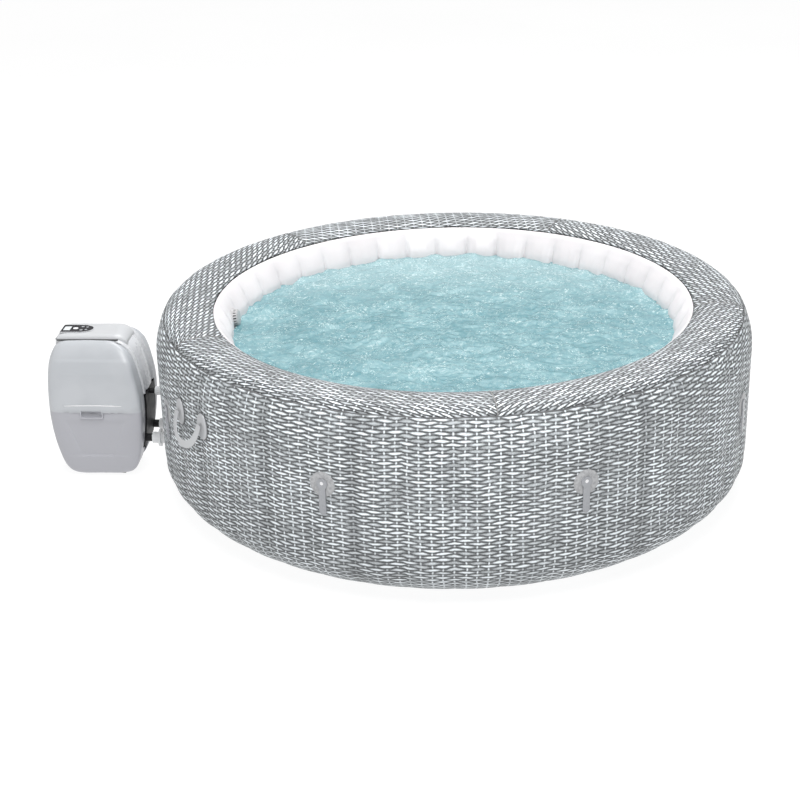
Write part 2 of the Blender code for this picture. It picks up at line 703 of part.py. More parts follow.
def make_water_pump():
    grey = material("motor_can", (0.25, 0.26, 0.28, 1), 0.4, 0.6)
    black = material("black_plate", BLACK, 0.5)
    side = -WATER_PORT[0] + 0.012
    axis = at(PUMP_X, side, WATER_PORT[1], ALONG_X)
    motor = rod_mesh(0.038, -0.085, 0.022, 20)
    add("water_motor", motor, grey, axis, PUMP_AXES)
    volute = (
        (0.046, 0.082), (0.046, 0.030), (0.010, 0.030), (0.010, 0.034), (0.042, 0.034),
        (0.042, 0.078), (0.014, 0.078), (0.014, 0.082),
    )  # fmt: skip
    turned("water_volute", volute, black, 20, axis, PUMP_AXES)
    place = axis @ at(0, 0, 0.056)
    flat_plate("impeller", [star_outline(6, 0.010, 0.036, 0.18)], 0.030, grey, place, PUMP_AXES)
    steel = material("steel", (0.6, 0.6, 0.62, 1), 0.25, 1.0)
    tube = ((0.0210, 0.120), (0.0210, -0.110), (0.0180, -0.110), (0.0180, 0.120))
    place = at(PUMP_X, WATER_PORT[0], WATER_PORT[1], ALONG_X)
    turned("heater_tube", tube, steel, 16, place, PUMP_AXES)


def make_blower():
    black = material("black_plate", BLACK, 0.5)
    axis = at(PUMP_X - 0.01, 0, 0.400, ALONG_Y)
    housing = (
        (0.072, 0.036), (0.072, -0.036), (0.012, -0.036), (0.012, -0.032), (0.068, -0.032),
        (0.068, 0.032), (0.030, 0.032), (0.030, 0.036),
    )  # fmt: skip
    turned("blower_housing", housing, black, 24, axis, PUMP_AXES)
    blades = star_outline(12, 0.022, 0.060, 0.25)
    flat_plate("blower_fan", [blades], 0.040, material("motor_can", LIGHT_GREY), axis, PUMP_AXES)
    board = box_mesh((PUMP_X - 0.120, -0.045, 0.496), (PUMP_X + 0.020, 0.045, 0.4976))
    green = material("board", (0.02, 0.18, 0.07, 1), 0.5)
    add("circuit_board", board, green, parent=PUMP_AXES)


# ---------------------------------------------------------------- build
# each port: offset along Y, height, pipe radius, flange radius, where spigot and fitting meet
PORTS = (
    ("inlet", -WATER_PORT[0], WATER_PORT[1], 0.0150, 0.034, -1.118),
    ("outlet", WATER_PORT[0], WATER_PORT[1], 0.0150, 0.034, -1.118),
    ("air", 0.0, AIR_PORT_Z, 0.0105, 0.022, -1.108),
)
DISPLAY = ((-0.132, -0.019), (-0.106, 0.019))
BUTTONS = (
    ("power", -0.088, 0.000, 0.0095),
    ("heat", -0.064, -0.017, 0.0060),
    ("bubbles", -0.064, 0.017, 0.0060),
    ("up", -0.046, -0.013, 0.0050),
    ("down", -0.046, 0.013, 0.0050),
)

clear_scene()
PART = collection("inflatable_hot_tub")
CUTTERS = collection("cutters")
PUMP_AXES = bpy.data.objects.new("pump_axes", None)
PART.objects.link(PUMP_AXES)
PUMP_AXES.rotation_euler = (0, 0, PUMP_TURN)

make_outer_wall()
make_top_panels()
make_inner_wall()
make_floor()
make_baffles()
make_handles()
make_clips()
make_air_valve()
make_drain()
make_wall_fittings()
make_debris_screen()
make_pump_cutters()
make_side_shell("pump_front_shell", -1)
make_side_shell("pump_rear_shell", 1)
make_spine()
make_hood()
make_back_plate()
make_coupling_nuts()
make_console()
make_control_panel()
make_buttons()
make_base()
make_water_pump()
make_blower()
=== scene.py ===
"""Looks for the inflatable hot tub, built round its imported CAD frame."""

from math import acos, atan2, cos, exp, hypot, pi, radians, sin

import bmesh
import bpy
from mathutils import Matrix, Vector, noise


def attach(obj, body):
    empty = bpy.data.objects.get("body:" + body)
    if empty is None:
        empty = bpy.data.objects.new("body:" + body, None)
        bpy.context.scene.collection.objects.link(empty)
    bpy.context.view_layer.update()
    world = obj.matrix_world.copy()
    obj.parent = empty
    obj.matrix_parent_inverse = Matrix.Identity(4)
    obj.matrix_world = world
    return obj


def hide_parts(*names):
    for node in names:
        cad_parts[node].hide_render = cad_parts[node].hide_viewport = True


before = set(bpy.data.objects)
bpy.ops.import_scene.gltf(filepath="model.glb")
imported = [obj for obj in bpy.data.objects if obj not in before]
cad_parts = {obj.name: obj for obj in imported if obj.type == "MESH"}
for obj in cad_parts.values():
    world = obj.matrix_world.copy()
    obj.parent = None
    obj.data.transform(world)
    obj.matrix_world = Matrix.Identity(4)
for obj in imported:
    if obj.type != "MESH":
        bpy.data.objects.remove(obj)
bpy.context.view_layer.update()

# ---------------------------------------------------------------- sizes, in metres; most are the CAD's
TUB_RADIUS, TUB_HEIGHT = 1.080, 0.710
PANELS = 5
# azimuths where the top panels meet, up to 2.5 degrees off the CAD panels' even steps
MITRES = (-154.5, -82.5, -8.0, 63.3, 131.8, 205.5)
CORNER_TOP, CORNER_TOP_IN = 0.156, 0.0775
CORNER_BASE, CORNER_BASE_IN = 0.172, 0.2946
SEAM_ANGLE = radians(56)
PANEL_INNER = (0.868, 0.692)  # radius and height of the top panels' inner edge
LINER_FOOT = 0.800
WATER_Z = 0.585
WEBS = 42  # pleats in the liner and bulges in the wall

# the printed weave: the stakes' spacing, a row's height, and a girth of whole strands
STAKE, ROW = 0.0362, 0.0114
GIRTH = 2 * STAKE * round(2 * pi * TUB_RADIUS / (2 * STAKE))

GUARD_AZIMUTH, GUARD_TILT = 175.0, -9
GUARD_SLOTS = 18

CLIP_AZIMUTHS = [22.5 + 45 * i for i in range(8)]
CLIP_PATCH = (0.043, 0.436)  # radius and height
CLIP_HINGE = 0.458
HANDLE_AZIMUTHS = (-144.4, 35.6)
HANDLE_HALF = 4.15  # degrees from a handle's middle to a leaf
HANDLE_HINGE = (0.0120, 0.508)  # out from the wall, and height

PUMP_TURN = radians(-2.4)
PUMP_X = -1.329
PUMP_CENTRE_Z = 0.300
PUMP_DEPTH = 0.155
SPINE_HALF = 0.045
SPINE_SCALE = 0.94
HOOD_HALF = 0.085
HOOD_SCALE = (1.03, 0.90)  # face and foot, against the shells' outline
CONSOLE = (-0.142, 0.125, 0.070, 0.512, 0.567)  # both ends, half width, foot, top
KEYPAD_SHIFT = (0.010, -0.008)
GRIP_X, GRIP_Z = (-0.050, 0.027), (0.271, 0.297)
GRIP_CENTRE = (-0.0115, 0.284)
# the shells' outline, as an offset along X and a height
EGG = (
    (0.000, 0.010), (-0.100, 0.011), (-0.142, 0.040), (-0.165, 0.115), (-0.178, 0.215),
    (-0.180, 0.320), (-0.172, 0.430), (-0.156, 0.505), (-0.125, 0.543), (-0.060, 0.550),
    (0.020, 0.550), (0.090, 0.543), (0.138, 0.502), (0.162, 0.425), (0.1755, 0.330),
    (0.172, 0.225), (0.154, 0.115), (0.125, 0.040), (0.075, 0.012),
)
PUMP_AXES = Matrix.Rotation(PUMP_TURN, 4, "Z")


# ---------------------------------------------------------------- helpers
def smoothstep(low, high, x):
    t = min(1.0, max(0.0, (x - low) / (high - low)))
    return t * t * (3 - 2 * t)


def bell(x, centre, width):
    return exp(-(((x - centre) / width) ** 2))


def polar(radius, angle, height):
    return (radius * cos(angle), radius * sin(angle), height)


def wall_frame(azimuth, radius=TUB_RADIUS, height=0.0):
    """Axes on the wall: X along it, Y outward, Z up."""
    a = radians(azimuth)
    spot = Matrix.Translation(polar(radius, a, height))
    return spot @ Matrix.Rotation(a - pi / 2, 4, "Z")


def smooth_loop(points, each):
    made = []
    count = len(points)
    for i in range(count):
        a, b, c, d = (Vector(points[(i + k) % count]) for k in (-1, 0, 1, 2))
        for step in range(each):
            t = step / each
            made.append(
                0.5 * (2 * b + (c - a) * t + (2 * a - 5 * b + 4 * c - d) * t * t
                       + (3 * b - a - 3 * c + d) * t ** 3)
            )
    return made


def resample(points, pitch):
    """(point, distance along) at about equal steps on an open polyline."""
    points = [Vector(p) for p in points]
    lengths = [0.0]
    for a, b in zip(points, points[1:]):
        lengths.append(lengths[-1] + (b - a).length)
    count = max(2, round(lengths[-1] / pitch) + 1)
    made, k = [], 0
    for i in range(count):
        s = lengths[-1] * i / (count - 1)
        while k < len(points) - 2 and lengths[k + 1] < s:
            k += 1
        t = (s - lengths[k]) / (lengths[k + 1] - lengths[k])
        made.append((points[k].lerp(points[k + 1], t), s))
    return made


def link(name, data, place=None):
    """Adds an object to the scene."""
    obj = bpy.data.objects.new(name, data)
    bpy.context.scene.collection.objects.link(obj)
    if place is not None:
        obj.matrix_world = place
    return obj


def mesh_of(name, bm):
    mesh = bpy.data.meshes.new(name)
    bm.to_mesh(mesh)
    bm.free()
    return mesh


def put(name, bm, material, body, replaces=(), place=None, smooth=40):
    """Turns a bmesh into a piece that rides on a body."""
    obj = link(name, mesh_of(name, bm), place)
    obj.data.materials.append(material)
    obj.data.shade_smooth()
    obj.data.set_sharp_from_angle(angle=radians(smooth))
    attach(obj, body)
    if replaces:
        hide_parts(*replaces)
    return obj


def apply(obj, *cutters):
    """Applies a piece's modifiers and removes the shapes that cut it."""
    bpy.context.view_layer.update()
    graph = bpy.context.evaluated_depsgraph_get()
    mesh = bpy.data.meshes.new_from_object(obj.evaluated_get(graph), depsgraph=graph)
    obj.modifiers.clear()
    obj.data = mesh
    for cutter in cutters:
        bpy.data.objects.remove(cutter)
    return obj


def carve(obj, label, bm, place):
    """Cuts a closed shape out of a piece, and gives the shape back for apply to remove."""
    cutter = link(label, mesh_of(label, bm), place)
    cut = obj.modifiers.new(label, "BOOLEAN")
    cut.object = cutter
    cut.solver = "EXACT"
    return cutter


def thicken(obj, thickness, offset=-1.0):
    shell = obj.modifiers.new("thickness", "SOLIDIFY")
    shell.thickness = thickness
    shell.offset = offset
    shell.use_even_offset = True
    return obj


def round_edges(obj, width, segments=3, angle=30):
    edge = obj.modifiers.new("edges", "BEVEL")
    edge.width = width
    edge.segments = segments
    edge.limit_method = "ANGLE"
    edge.angle_limit = radians(angle)
    edge.harden_normals = True
    return obj


def lattice(rows, closed=False, uvs=None):
    """A bmesh through rows of points; closed joins each row's end to its start."""
    bm = bmesh.new()
    made = [[bm.verts.new(p) for p in row] for row in rows]
    layer = bm.loops.layers.uv.new("weave") if uvs else None
    across = len(rows[0])
    for i in range(len(rows) - 1):
        for j in range(across if closed else across - 1):
            k = (j + 1) % across
            face = bm.faces.new((made[i][j], made[i][k], made[i + 1][k], made[i + 1][j]))
            if layer:
                spots = ((i, j), (i, j + 1), (i + 1, j + 1), (i + 1, j))
                for loop, (r, c) in zip(face.loops, spots):
                    loop[layer].uv = uvs(r, c)
    return bm


def face_out(bm):
    bmesh.ops.recalc_face_normals(bm, faces=bm.faces)
    return bm


def prism(outline, low, high, bm=None):
    """A closed plate in XY from an outline, from low to high along Z."""
    bm = bm or bmesh.new()
    bottom = [bm.verts.new((x, y, low)) for x, y in outline]
    top = [bm.verts.new((x, y, high)) for x, y in outline]
    count = len(outline)
    for i in range(count):
        j = (i + 1) % count
        bm.faces.new((bottom[i], bottom[j], top[j], top[i]))
    bm.faces.new(bottom[::-1])
    bm.faces.new(top)
    return bm


def turned(profile, steps=48):
    """A closed ring about Z from (radius, height) points."""
    rows = []
    for i in range(steps):
        a = 2 * pi * i / steps
        rows.append([polar(r, a, z) for r, z in profile])
    rows.append(rows[0])
    bm = lattice(rows, closed=True)
    bmesh.ops.remove_doubles(bm, verts=bm.verts, dist=1e-6)
    return face_out(bm)


def arc(radius, count, centre=(0, 0), start=0.0, sweep=2 * pi, squash=1.0):
    spaces = count if abs(sweep) > 6.28 else count - 1
    angles = [start + sweep * i / spaces for i in range(count)]
    return [
        (centre[0] + radius * cos(a), centre[1] + squash * radius * sin(a))
        for a in angles
    ]


def rounded_box(half_x, half_y, radius, count=5):
    made = []
    for k, (sx, sy) in enumerate(((1, 1), (-1, 1), (-1, -1), (1, -1))):
        centre = (sx * (half_x - radius), sy * (half_y - radius))
        made += arc(radius, count, centre, k * pi / 2, pi / 2)
    return made


ALONG_Y = Matrix.Rotation(-pi / 2, 4, "X")
UPRIGHT = Matrix.Rotation(pi / 2, 4, "X")


# ---------------------------------------------------------------- materials
class Graph:
    """Short calls for building a node tree."""

    def __init__(self, name):
        self.material = bpy.data.materials.new(name)
        self.material.use_nodes = True
        self.tree = self.material.node_tree
        self.shader = self.tree.nodes["Principled BSDF"]

    def node(self, kind, **values):
        made = self.tree.nodes.new(f"ShaderNode{kind}")
        for key, value in values.items():
            setattr(made, key, value)
        return made

    def feed(self, socket, value):
        if isinstance(value, bpy.types.NodeSocket):
            self.tree.links.new(value, socket)
        else:
            socket.default_value = value

    def math(self, operation, *values, clamp=False):
        made = self.node("Math", operation=operation, use_clamp=clamp)
        for socket, value in zip(made.inputs, values):
            self.feed(socket, value)
        return made.outputs[0]

    def plus(self, first, second, clamp=False):
        return self.math("ADD", first, second, clamp=clamp)

    def minus(self, first, second):
        return self.math("SUBTRACT", first, second)

    def times(self, first, second):
        return self.math("MULTIPLY", first, second)

    def off_middle(self, value):
        """0 midway between two whole numbers and 0.5 at each."""
        return self.math("ABSOLUTE", self.minus(self.math("FRACT", value), 0.5))

    def mix(self, share, first, second, blend="MIX"):
        made = self.node("Mix", data_type="RGBA", blend_type=blend)
        self.feed(made.inputs[0], share)
        self.feed(made.inputs[6], first)
        self.feed(made.inputs[7], second)
        return made.outputs[2]

    def ramp(self, value, stops):
        made = self.node("ValToRGB")
        self.feed(made.inputs[0], value)
        elements = made.color_ramp.elements
        while len(elements) < len(stops):
            elements.new(0.5)
        for element, (at, colour) in zip(elements, stops):
            element.position = at
            element.color = (*colour, 1) if len(colour) == 3 else colour
        return made.outputs[0]

    def noise(self, scale, detail=2.0, rough=0.5, vector=None):
        made = self.node("TexNoise")
        self.feed(made.inputs["Vector"], vector or self.place())
        made.inputs["Scale"].default_value = scale
        made.inputs["Detail"].default_value = detail
        made.inputs["Roughness"].default_value = rough
        return made.outputs[0]

    def place(self):
        return self.node("TexCoord").outputs["Object"]

    def axes(self, vector=None):
        """The X, Y and Z of a vector, or of the place on the piece."""
        made = self.node("SeparateXYZ")
        self.feed(made.inputs[0], vector or self.place())
        return made.outputs

    def even(self, value):
        """One value in all three colour channels."""
        made = self.node("CombineColor")
        for socket in made.inputs:
            self.feed(socket, value)
        return made.outputs[0]

    def span(self, value, low, high, to_low=0.0, to_high=1.0):
        made = self.node("MapRange", interpolation_type="SMOOTHSTEP")
        for socket, v in zip(made.inputs, (value, low, high, to_low, to_high)):
            self.feed(socket, v)
        return made.outputs[0]

    def bump(self, height, strength, distance):
        made = self.node("Bump")
        made.inputs["Strength"].default_value = strength
        made.inputs["Distance"].default_value = distance
        self.feed(made.inputs["Height"], height)
        self.feed(self.shader.inputs["Normal"], made.outputs[0])

    def surface(self, **values):
        for key, value in values.items():
            self.feed(self.shader.inputs[key.replace("_", " ")], value)
        return self.material


def grey(level):
    return (level, level, level)


def cool(level):
    return (level * 0.945, level * 1.005, level * 1.045)


def wall_painted_shade(g, u):
    """Painted shade: darker towards the base and along the lines where the webs pull."""
    low = g.span(g.axes()[2], 0.02, 0.40, 0.82, 1.03)
    along = g.times(u, WEBS / GIRTH)
    line = g.off_middle(along)
    taut = g.node("TexWhiteNoise", noise_dimensions="1D")
    g.feed(taut.inputs["W"], g.math("MODULO", g.math("ROUND", along), float(WEBS)))
    # painted shade along each web's crease, deeper at some webs than others
    dark = g.times(g.span(line, 0.32, 0.5), g.span(taut.outputs[0], 0.1, 0.9, 0.04, 0.30))
    return g.times(low, g.minus(1.0, dark))


def top_painted_light(g, _u):
    """Painted light: lighter on the outer roll and darker near the water."""
    flat = g.node("VectorMath", operation="MULTIPLY")
    g.feed(flat.inputs[0], g.place())
    flat.inputs[1].default_value = (1, 1, 0)
    size = g.node("VectorMath", operation="LENGTH")
    g.feed(size.inputs[0], flat.outputs[0])
    return g.span(size.outputs["Value"], 0.89, 1.04, 0.88, 1.07)


def weave(name, low, middle, high, ticks, loose, painted_light):
    """Printed rattan: strands over two stakes, each row shifted by one stake."""
    g = Graph(name)
    uv = g.node("UVMap", uv_map="weave").outputs[0]
    u, v, _ = g.axes(uv)
    wander = g.minus(g.noise(11.0, 3.0, 0.55, uv), 0.5)
    v = g.plus(v, g.times(wander, 0.018 * loose))
    shift = g.minus(g.noise(17.0, 2.0, 0.5, uv), 0.5)
    u = g.plus(u, g.times(shift, 0.014 * loose))
    rows = g.math("DIVIDE", v, ROW)
    row = g.math("FLOOR", rows)
    across = g.off_middle(rows)
    odd = g.math("MODULO", g.math("ABSOLUTE", row), 2.0)
    along = g.plus(g.math("DIVIDE", u, 2 * STAKE), g.times(odd, 0.5))
    strand = g.math("FLOOR", along)
    end = g.times(g.off_middle(along), 2.0)
    key = g.node("CombineXYZ")
    g.feed(key.inputs[0], strand)
    g.feed(key.inputs[1], row)
    tone = g.node("TexWhiteNoise", noise_dimensions="2D")
    g.feed(tone.inputs["Vector"], key.outputs[0])
    tone = g.minus(tone.outputs[0], 0.5)
    # a lens: full width at the strand's middle, thin at its ends
    width = g.minus(0.285, g.times(g.math("POWER", end, 1.6), 0.19))
    body = g.span(g.minus(width, across), -0.11, 0.15)
    reach = g.plus(0.78, g.times(tone, 0.24))
    core = g.times(body, g.span(end, reach, 0.10, 0.05, 1.0))
    # dark pockets beside the strand's ends, and a thin dark line between rows
    pocket = g.times(g.span(across, 0.14, 0.34), g.span(end, 0.10, 0.70, 0.28, 1.0))
    # the stake shows as a pale tick where the strand dips behind it
    near = g.span(g.noise(5.0, 2.0, 0.5, uv), 0.36, 0.58, 0.25, 1.0)
    tick = g.times(g.span(end, 0.89, 0.965), g.span(across, 0.64, 0.42))
    tick = g.times(tick, g.times(near, ticks))
    worn = g.span(g.noise(8.0, 2.0, 0.5, uv), 0.36, 0.60, 0.62, 1.06)
    core = g.times(core, g.plus(0.60, g.times(tone, 0.95)))
    value = g.plus(0.43, g.times(core, worn))
    value = g.minus(value, g.times(pocket, g.times(worn, 0.50)))
    dip = g.times(g.span(end, 0.48, 0.80), g.span(end, 0.955, 0.88))
    value = g.minus(value, g.times(dip, 0.26))
    value = g.plus(value, tick)
    grain = g.times(g.minus(g.noise(190.0, 3.0, 0.7, uv), 0.5), 0.70)
    value = g.plus(value, grain, clamp=True)
    colour = g.ramp(value, ((0.0, low), (0.42, middle), (1.0, high)))
    # random tone patches, times the painted light and shade passed in
    patch = g.times(g.span(g.noise(3.0, 3.0), 0.3, 0.7, 0.92, 1.05), painted_light(g, u))
    colour = g.mix(1.0, colour, g.even(patch), "MULTIPLY")
    g.bump(g.minus(core, g.times(pocket, 0.6)), 0.35, 0.0006)
    return g.surface(Base_Color=colour, Roughness=g.span(value, 0.0, 1.0, 0.64, 0.50))


def plastic(
    name, low, high, roughness, grain=900.0, depth=0.00008, clean=0.04, foot=None, shine=0.5
):
    """Moulded plastic: a slow tone change, a fine texture and uneven gloss.

    foot is the colour below the crease in the pump's shells: painted shade, darker where the lower
    shell faces down.
    """
    g = Graph(name)
    slow = g.noise(6.0, 3.0)
    colour = g.mix(g.span(slow, 0.35, 0.65), (*low, 1), (*high, 1))
    if foot:
        # painted shade: the shells darker below the crease
        colour = g.mix(g.span(g.axes()[2], 0.292, 0.284), colour, (*foot, 1))
    fine = g.noise(grain, 2.0, 0.6)
    g.bump(fine, 0.25, depth)
    gloss = g.span(g.noise(40.0, 3.0), 0.3, 0.7, roughness - clean, roughness + clean)
    return g.surface(Base_Color=colour, Roughness=gloss, Specular_IOR_Level=shine)


def vinyl(name, low, high, roughness):
    g = Graph(name)
    slow = g.noise(4.0, 4.0)
    colour = g.mix(g.span(slow, 0.3, 0.7), (*low, 1), (*high, 1))
    g.bump(g.noise(60.0, 4.0, 0.6), 0.15, 0.0006)
    gloss = g.span(g.noise(14.0, 3.0), 0.3, 0.7, roughness - 0.06, roughness + 0.06)
    return g.surface(Base_Color=colour, Roughness=gloss)


def mottled(name, low, high, roughness):
    """Clear welded film over the print: blotches of light and dark."""
    g = Graph(name)
    blotch = g.noise(95.0, 3.0, 0.7)
    colour = g.mix(g.span(blotch, 0.34, 0.64), (*low, 1), (*high, 1))
    g.bump(blotch, 0.2, 0.0006)
    gloss = g.span(blotch, 0.3, 0.7, roughness - 0.06, roughness + 0.08)
    return g.surface(Base_Color=colour, Roughness=gloss)


def water_material():
    """Milky, churned water: teal with pale bubble clusters and fine foam specks."""
    g = Graph("churned_water")
    place = g.place()
    warp = g.node("TexNoise")
    g.feed(warp.inputs["Vector"], place)
    warp.inputs["Scale"].default_value = 7.0
    warp.inputs["Detail"].default_value = 3.0
    moved = g.node("VectorMath", operation="MULTIPLY_ADD")
    g.feed(moved.inputs[0], warp.outputs[1])
    moved.inputs[1].default_value = (0.12, 0.12, 0.0)
    g.feed(moved.inputs[2], place)
    moved = moved.outputs[0]
    cloud = g.noise(7.0, 6.0, 0.66, moved)
    colour = g.ramp(
        cloud,
        (
            (0.28, (0.117, 0.256, 0.286)),
            (0.47, (0.166, 0.326, 0.359)),
            (0.60, (0.214, 0.382, 0.414)),
            (0.76, (0.350, 0.530, 0.555)),
        ),
    )
    fine = g.noise(58.0, 4.0, 0.75, moved)
    dark = g.span(fine, 0.50, 0.36)
    colour = g.mix(g.times(dark, 0.60), colour, (0.105, 0.262, 0.305, 1))
    froth = g.span(fine, 0.53, 0.66)
    froth = g.times(froth, g.span(cloud, 0.36, 0.62, 0.22, 0.85))
    flecks = g.span(g.noise(125.0, 3.0, 0.75, moved), 0.56, 0.63)
    flecks = g.times(flecks, g.span(g.noise(16.0, 3.0, 0.6, moved), 0.42, 0.60, 0.15, 1.0))
    # the +Y side is whitened: froth, and a painted reflection of the sky at a glancing angle
    far_froth_and_reflection = g.span(g.axes(place)[1], 0.15, 0.80)
    white = g.plus(g.times(froth, 0.55), g.times(flecks, 0.85))
    white = g.plus(white, g.times(far_froth_and_reflection, 0.26), clamp=True)
    colour = g.mix(g.times(white, 0.88), colour, (0.68, 0.82, 0.83, 1))
    rough = g.span(white, 0.0, 1.0, 0.16, 0.50)
    ripples = g.plus(g.noise(34.0, 5.0, 0.66, moved), g.times(white, 0.35))
    g.bump(ripples, 0.55, 0.008)
    return g.surface(Base_Color=colour, Roughness=rough, IOR=1.33)


# the last argument paints shade into the wall print and light into the top print
WALL = weave("woven_wall_print", cool(0.070), cool(0.385), cool(0.96), 0.52, 1.0, wall_painted_shade)
TOP = weave("woven_top_print", cool(0.028), cool(0.290), cool(0.98), 0.36, 0.7, top_painted_light)
WELD = vinyl("weld_vinyl", grey(0.26), grey(0.34), 0.5)
LINER = vinyl("liner_vinyl", (0.735, 0.700, 0.713), (0.800, 0.770, 0.781), 0.42)
BASE = vinyl("base_vinyl_dark", (0.10, 0.105, 0.11), (0.15, 0.155, 0.16), 0.62)
WEB = vinyl("web_vinyl_plain", (0.62, 0.62, 0.64), (0.70, 0.70, 0.72), 0.55)
MOULDED = plastic("clip_plastic", (0.270, 0.280, 0.300), (0.335, 0.345, 0.365), 0.28)
STRAP = vinyl("strap_vinyl", (0.41, 0.42, 0.435), (0.53, 0.54, 0.555), 0.34)
PATCH = mottled("patch_vinyl", (0.30, 0.305, 0.315), (0.44, 0.445, 0.455), 0.34)
# dark vinyl: painted shadow in the seam and the console's gap, and the handle pads' welded margins
SHADOW_AND_MARGIN = vinyl("shadow_and_margin_vinyl", (0.13, 0.135, 0.14), (0.18, 0.185, 0.19), 0.5)
GUARD = plastic("guard_plastic", (0.52, 0.515, 0.52), (0.60, 0.595, 0.60), 0.30)
WHITE_PLASTIC = plastic("white_plastic", (0.78, 0.78, 0.79), (0.86, 0.86, 0.87), 0.30)
UNION = plastic("union_plastic", (0.68, 0.69, 0.70), (0.80, 0.81, 0.82), 0.20)
# the darker foot is painted shade on the lower shells
SHELL = plastic(
    "shell_plastic", (0.455, 0.473, 0.498), (0.495, 0.512, 0.536), 0.34, foot=(0.405, 0.408, 0.440)
)
SPINE = plastic("spine_plastic", (0.36, 0.375, 0.40), (0.42, 0.435, 0.46), 0.36)
HOOD = plastic("hood_plastic", (0.60, 0.61, 0.63), (0.65, 0.66, 0.68), 0.28)
CONSOLE_PLASTIC = plastic(
    "console_plastic", (0.525, 0.535, 0.550), (0.560, 0.570, 0.585), 0.33, 900.0, 0.00004, 0.012
)
BLACK = plastic(
    "black_plastic", (0.009, 0.009, 0.010), (0.015, 0.015, 0.017), 0.50, shine=0.22
)
KEYPAD = plastic("keypad_gloss", (0.012, 0.012, 0.015), (0.020, 0.020, 0.024), 0.22, 400.0, 0.00003)
DISPLAY = plastic("display_glass", (0.70, 0.74, 0.76), (0.78, 0.82, 0.84), 0.12, 300.0, 0.00002)
KEY_WHITE = plastic("key_white_plastic", (0.78, 0.78, 0.80), (0.86, 0.86, 0.88), 0.32)
KEY_GREY = plastic("key_grey_plastic", (0.30, 0.31, 0.33), (0.38, 0.39, 0.41), 0.38)
CAN = plastic("motor_paint", (0.20, 0.21, 0.23), (0.27, 0.28, 0.30), 0.40)
BOARD = plastic("board_lacquer", (0.015, 0.15, 0.05), (0.025, 0.22, 0.08), 0.42)


def steel():
    g = Graph("brushed_tube")
    stretch = g.node("Mapping")
    g.feed(stretch.inputs["Vector"], g.place())
    stretch.inputs["Scale"].default_value = (4.0, 60.0, 60.0)
    lines = g.noise(12.0, 4.0, 0.7, stretch.outputs[0])
    colour = g.mix(lines, (0.52, 0.53, 0.55, 1), (0.68, 0.69, 0.71, 1))
    g.bump(lines, 0.2, 0.0001)
    return g.surface(Base_Color=colour, Roughness=g.span(lines, 0.3, 0.7, 0.2, 0.34), Metallic=1.0)


STEEL = steel()
WATER = water_material()


# ---------------------------------------------------------------- tub
def upper_corner(a):
    r = TUB_RADIUS - CORNER_TOP_IN * (1 - cos(a))
    return r, TUB_HEIGHT - 0.001 - CORNER_TOP * (1 - sin(a))


def bulge(azimuth):
    """0 at a web and 1 midway between two."""
    return abs(sin((azimuth - pi / 2) * WEBS / 2)) ** 0.6


def seam_wave(azimuth):
    """How far the top seam wanders up and down."""
    slow = 0.0013 * sin(azimuth * 31 + 2 * sin(azimuth * 5))
    return slow + 0.0007 * sin(azimuth * 73 + 1)


def make_wall():
    """The printed wall, from the top seam down and in under the tub."""
    profile = [upper_corner(SEAM_ANGLE * (1 - i / 16)) for i in range(17)]
    for i in range(1, 25):
        profile.append((TUB_RADIUS, CORNER_BASE + (profile[16][1] - CORNER_BASE) * (1 - i / 24)))
    for i in range(1, 17):
        a = radians(86) * i / 16
        r = TUB_RADIUS - CORNER_BASE_IN * (1 - cos(a))
        profile.append((r, CORNER_BASE * (1 - sin(a))))
    line = resample([(r, 0, z) for r, z in profile], 0.012)
    around = 672
    total = line[-1][1]

    def spot(i, j):
        (r, _, z), s = line[i][0], line[i][1]
        a = pi / 2 + 2 * pi * j / around
        # webs pull the skin in on the standing wall, less near the seam and the base
        hold = smoothstep(0.0, 0.10, s) * smoothstep(0.06, 0.34, total - s)
        pull = 0.0068 * hold * (1 - bulge(a))
        tuck = 0.0030 * bell(s, 0.0, 0.006)
        wave = seam_wave(a) * bell(s, 0.0, 0.030)
        r = r - pull - tuck
        return polar(r, a, z + wave)

    rows = [[spot(i, j) for j in range(around)] for i in range(len(line))]
    bm = lattice(rows, True, lambda r, c: (GIRTH * c / around, line[r][1]))
    bmesh.ops.reverse_faces(bm, faces=bm.faces)
    wall = put("tub_wall", bm, WALL, "tub", ["outer_wall"])
    apply(thicken(wall, 0.0025))
    # a dark strip under the top panels' outer edge: painted shadow of the overlapping seam
    rows = []
    for k in range(9):
        t = pi * k / 8
        row = []
        for j in range(around):
            a = 2 * pi * j / around
            r, z = upper_corner(SEAM_ANGLE - 0.012)
            thick = 0.0023 + 0.0007 * sin(a * 47 + 3 * sin(a * 7))
            r += -0.0022 + 0.0024 * sin(t)
            z += seam_wave(a) - 0.0008 + thick * cos(t)
            row.append(polar(r, a, z))
        rows.append(row)
    bm = face_out(lattice(rows, True))
    apply(thicken(put("seam_shadow_strip", bm, SHADOW_AND_MARGIN, "tub"), 0.0006))


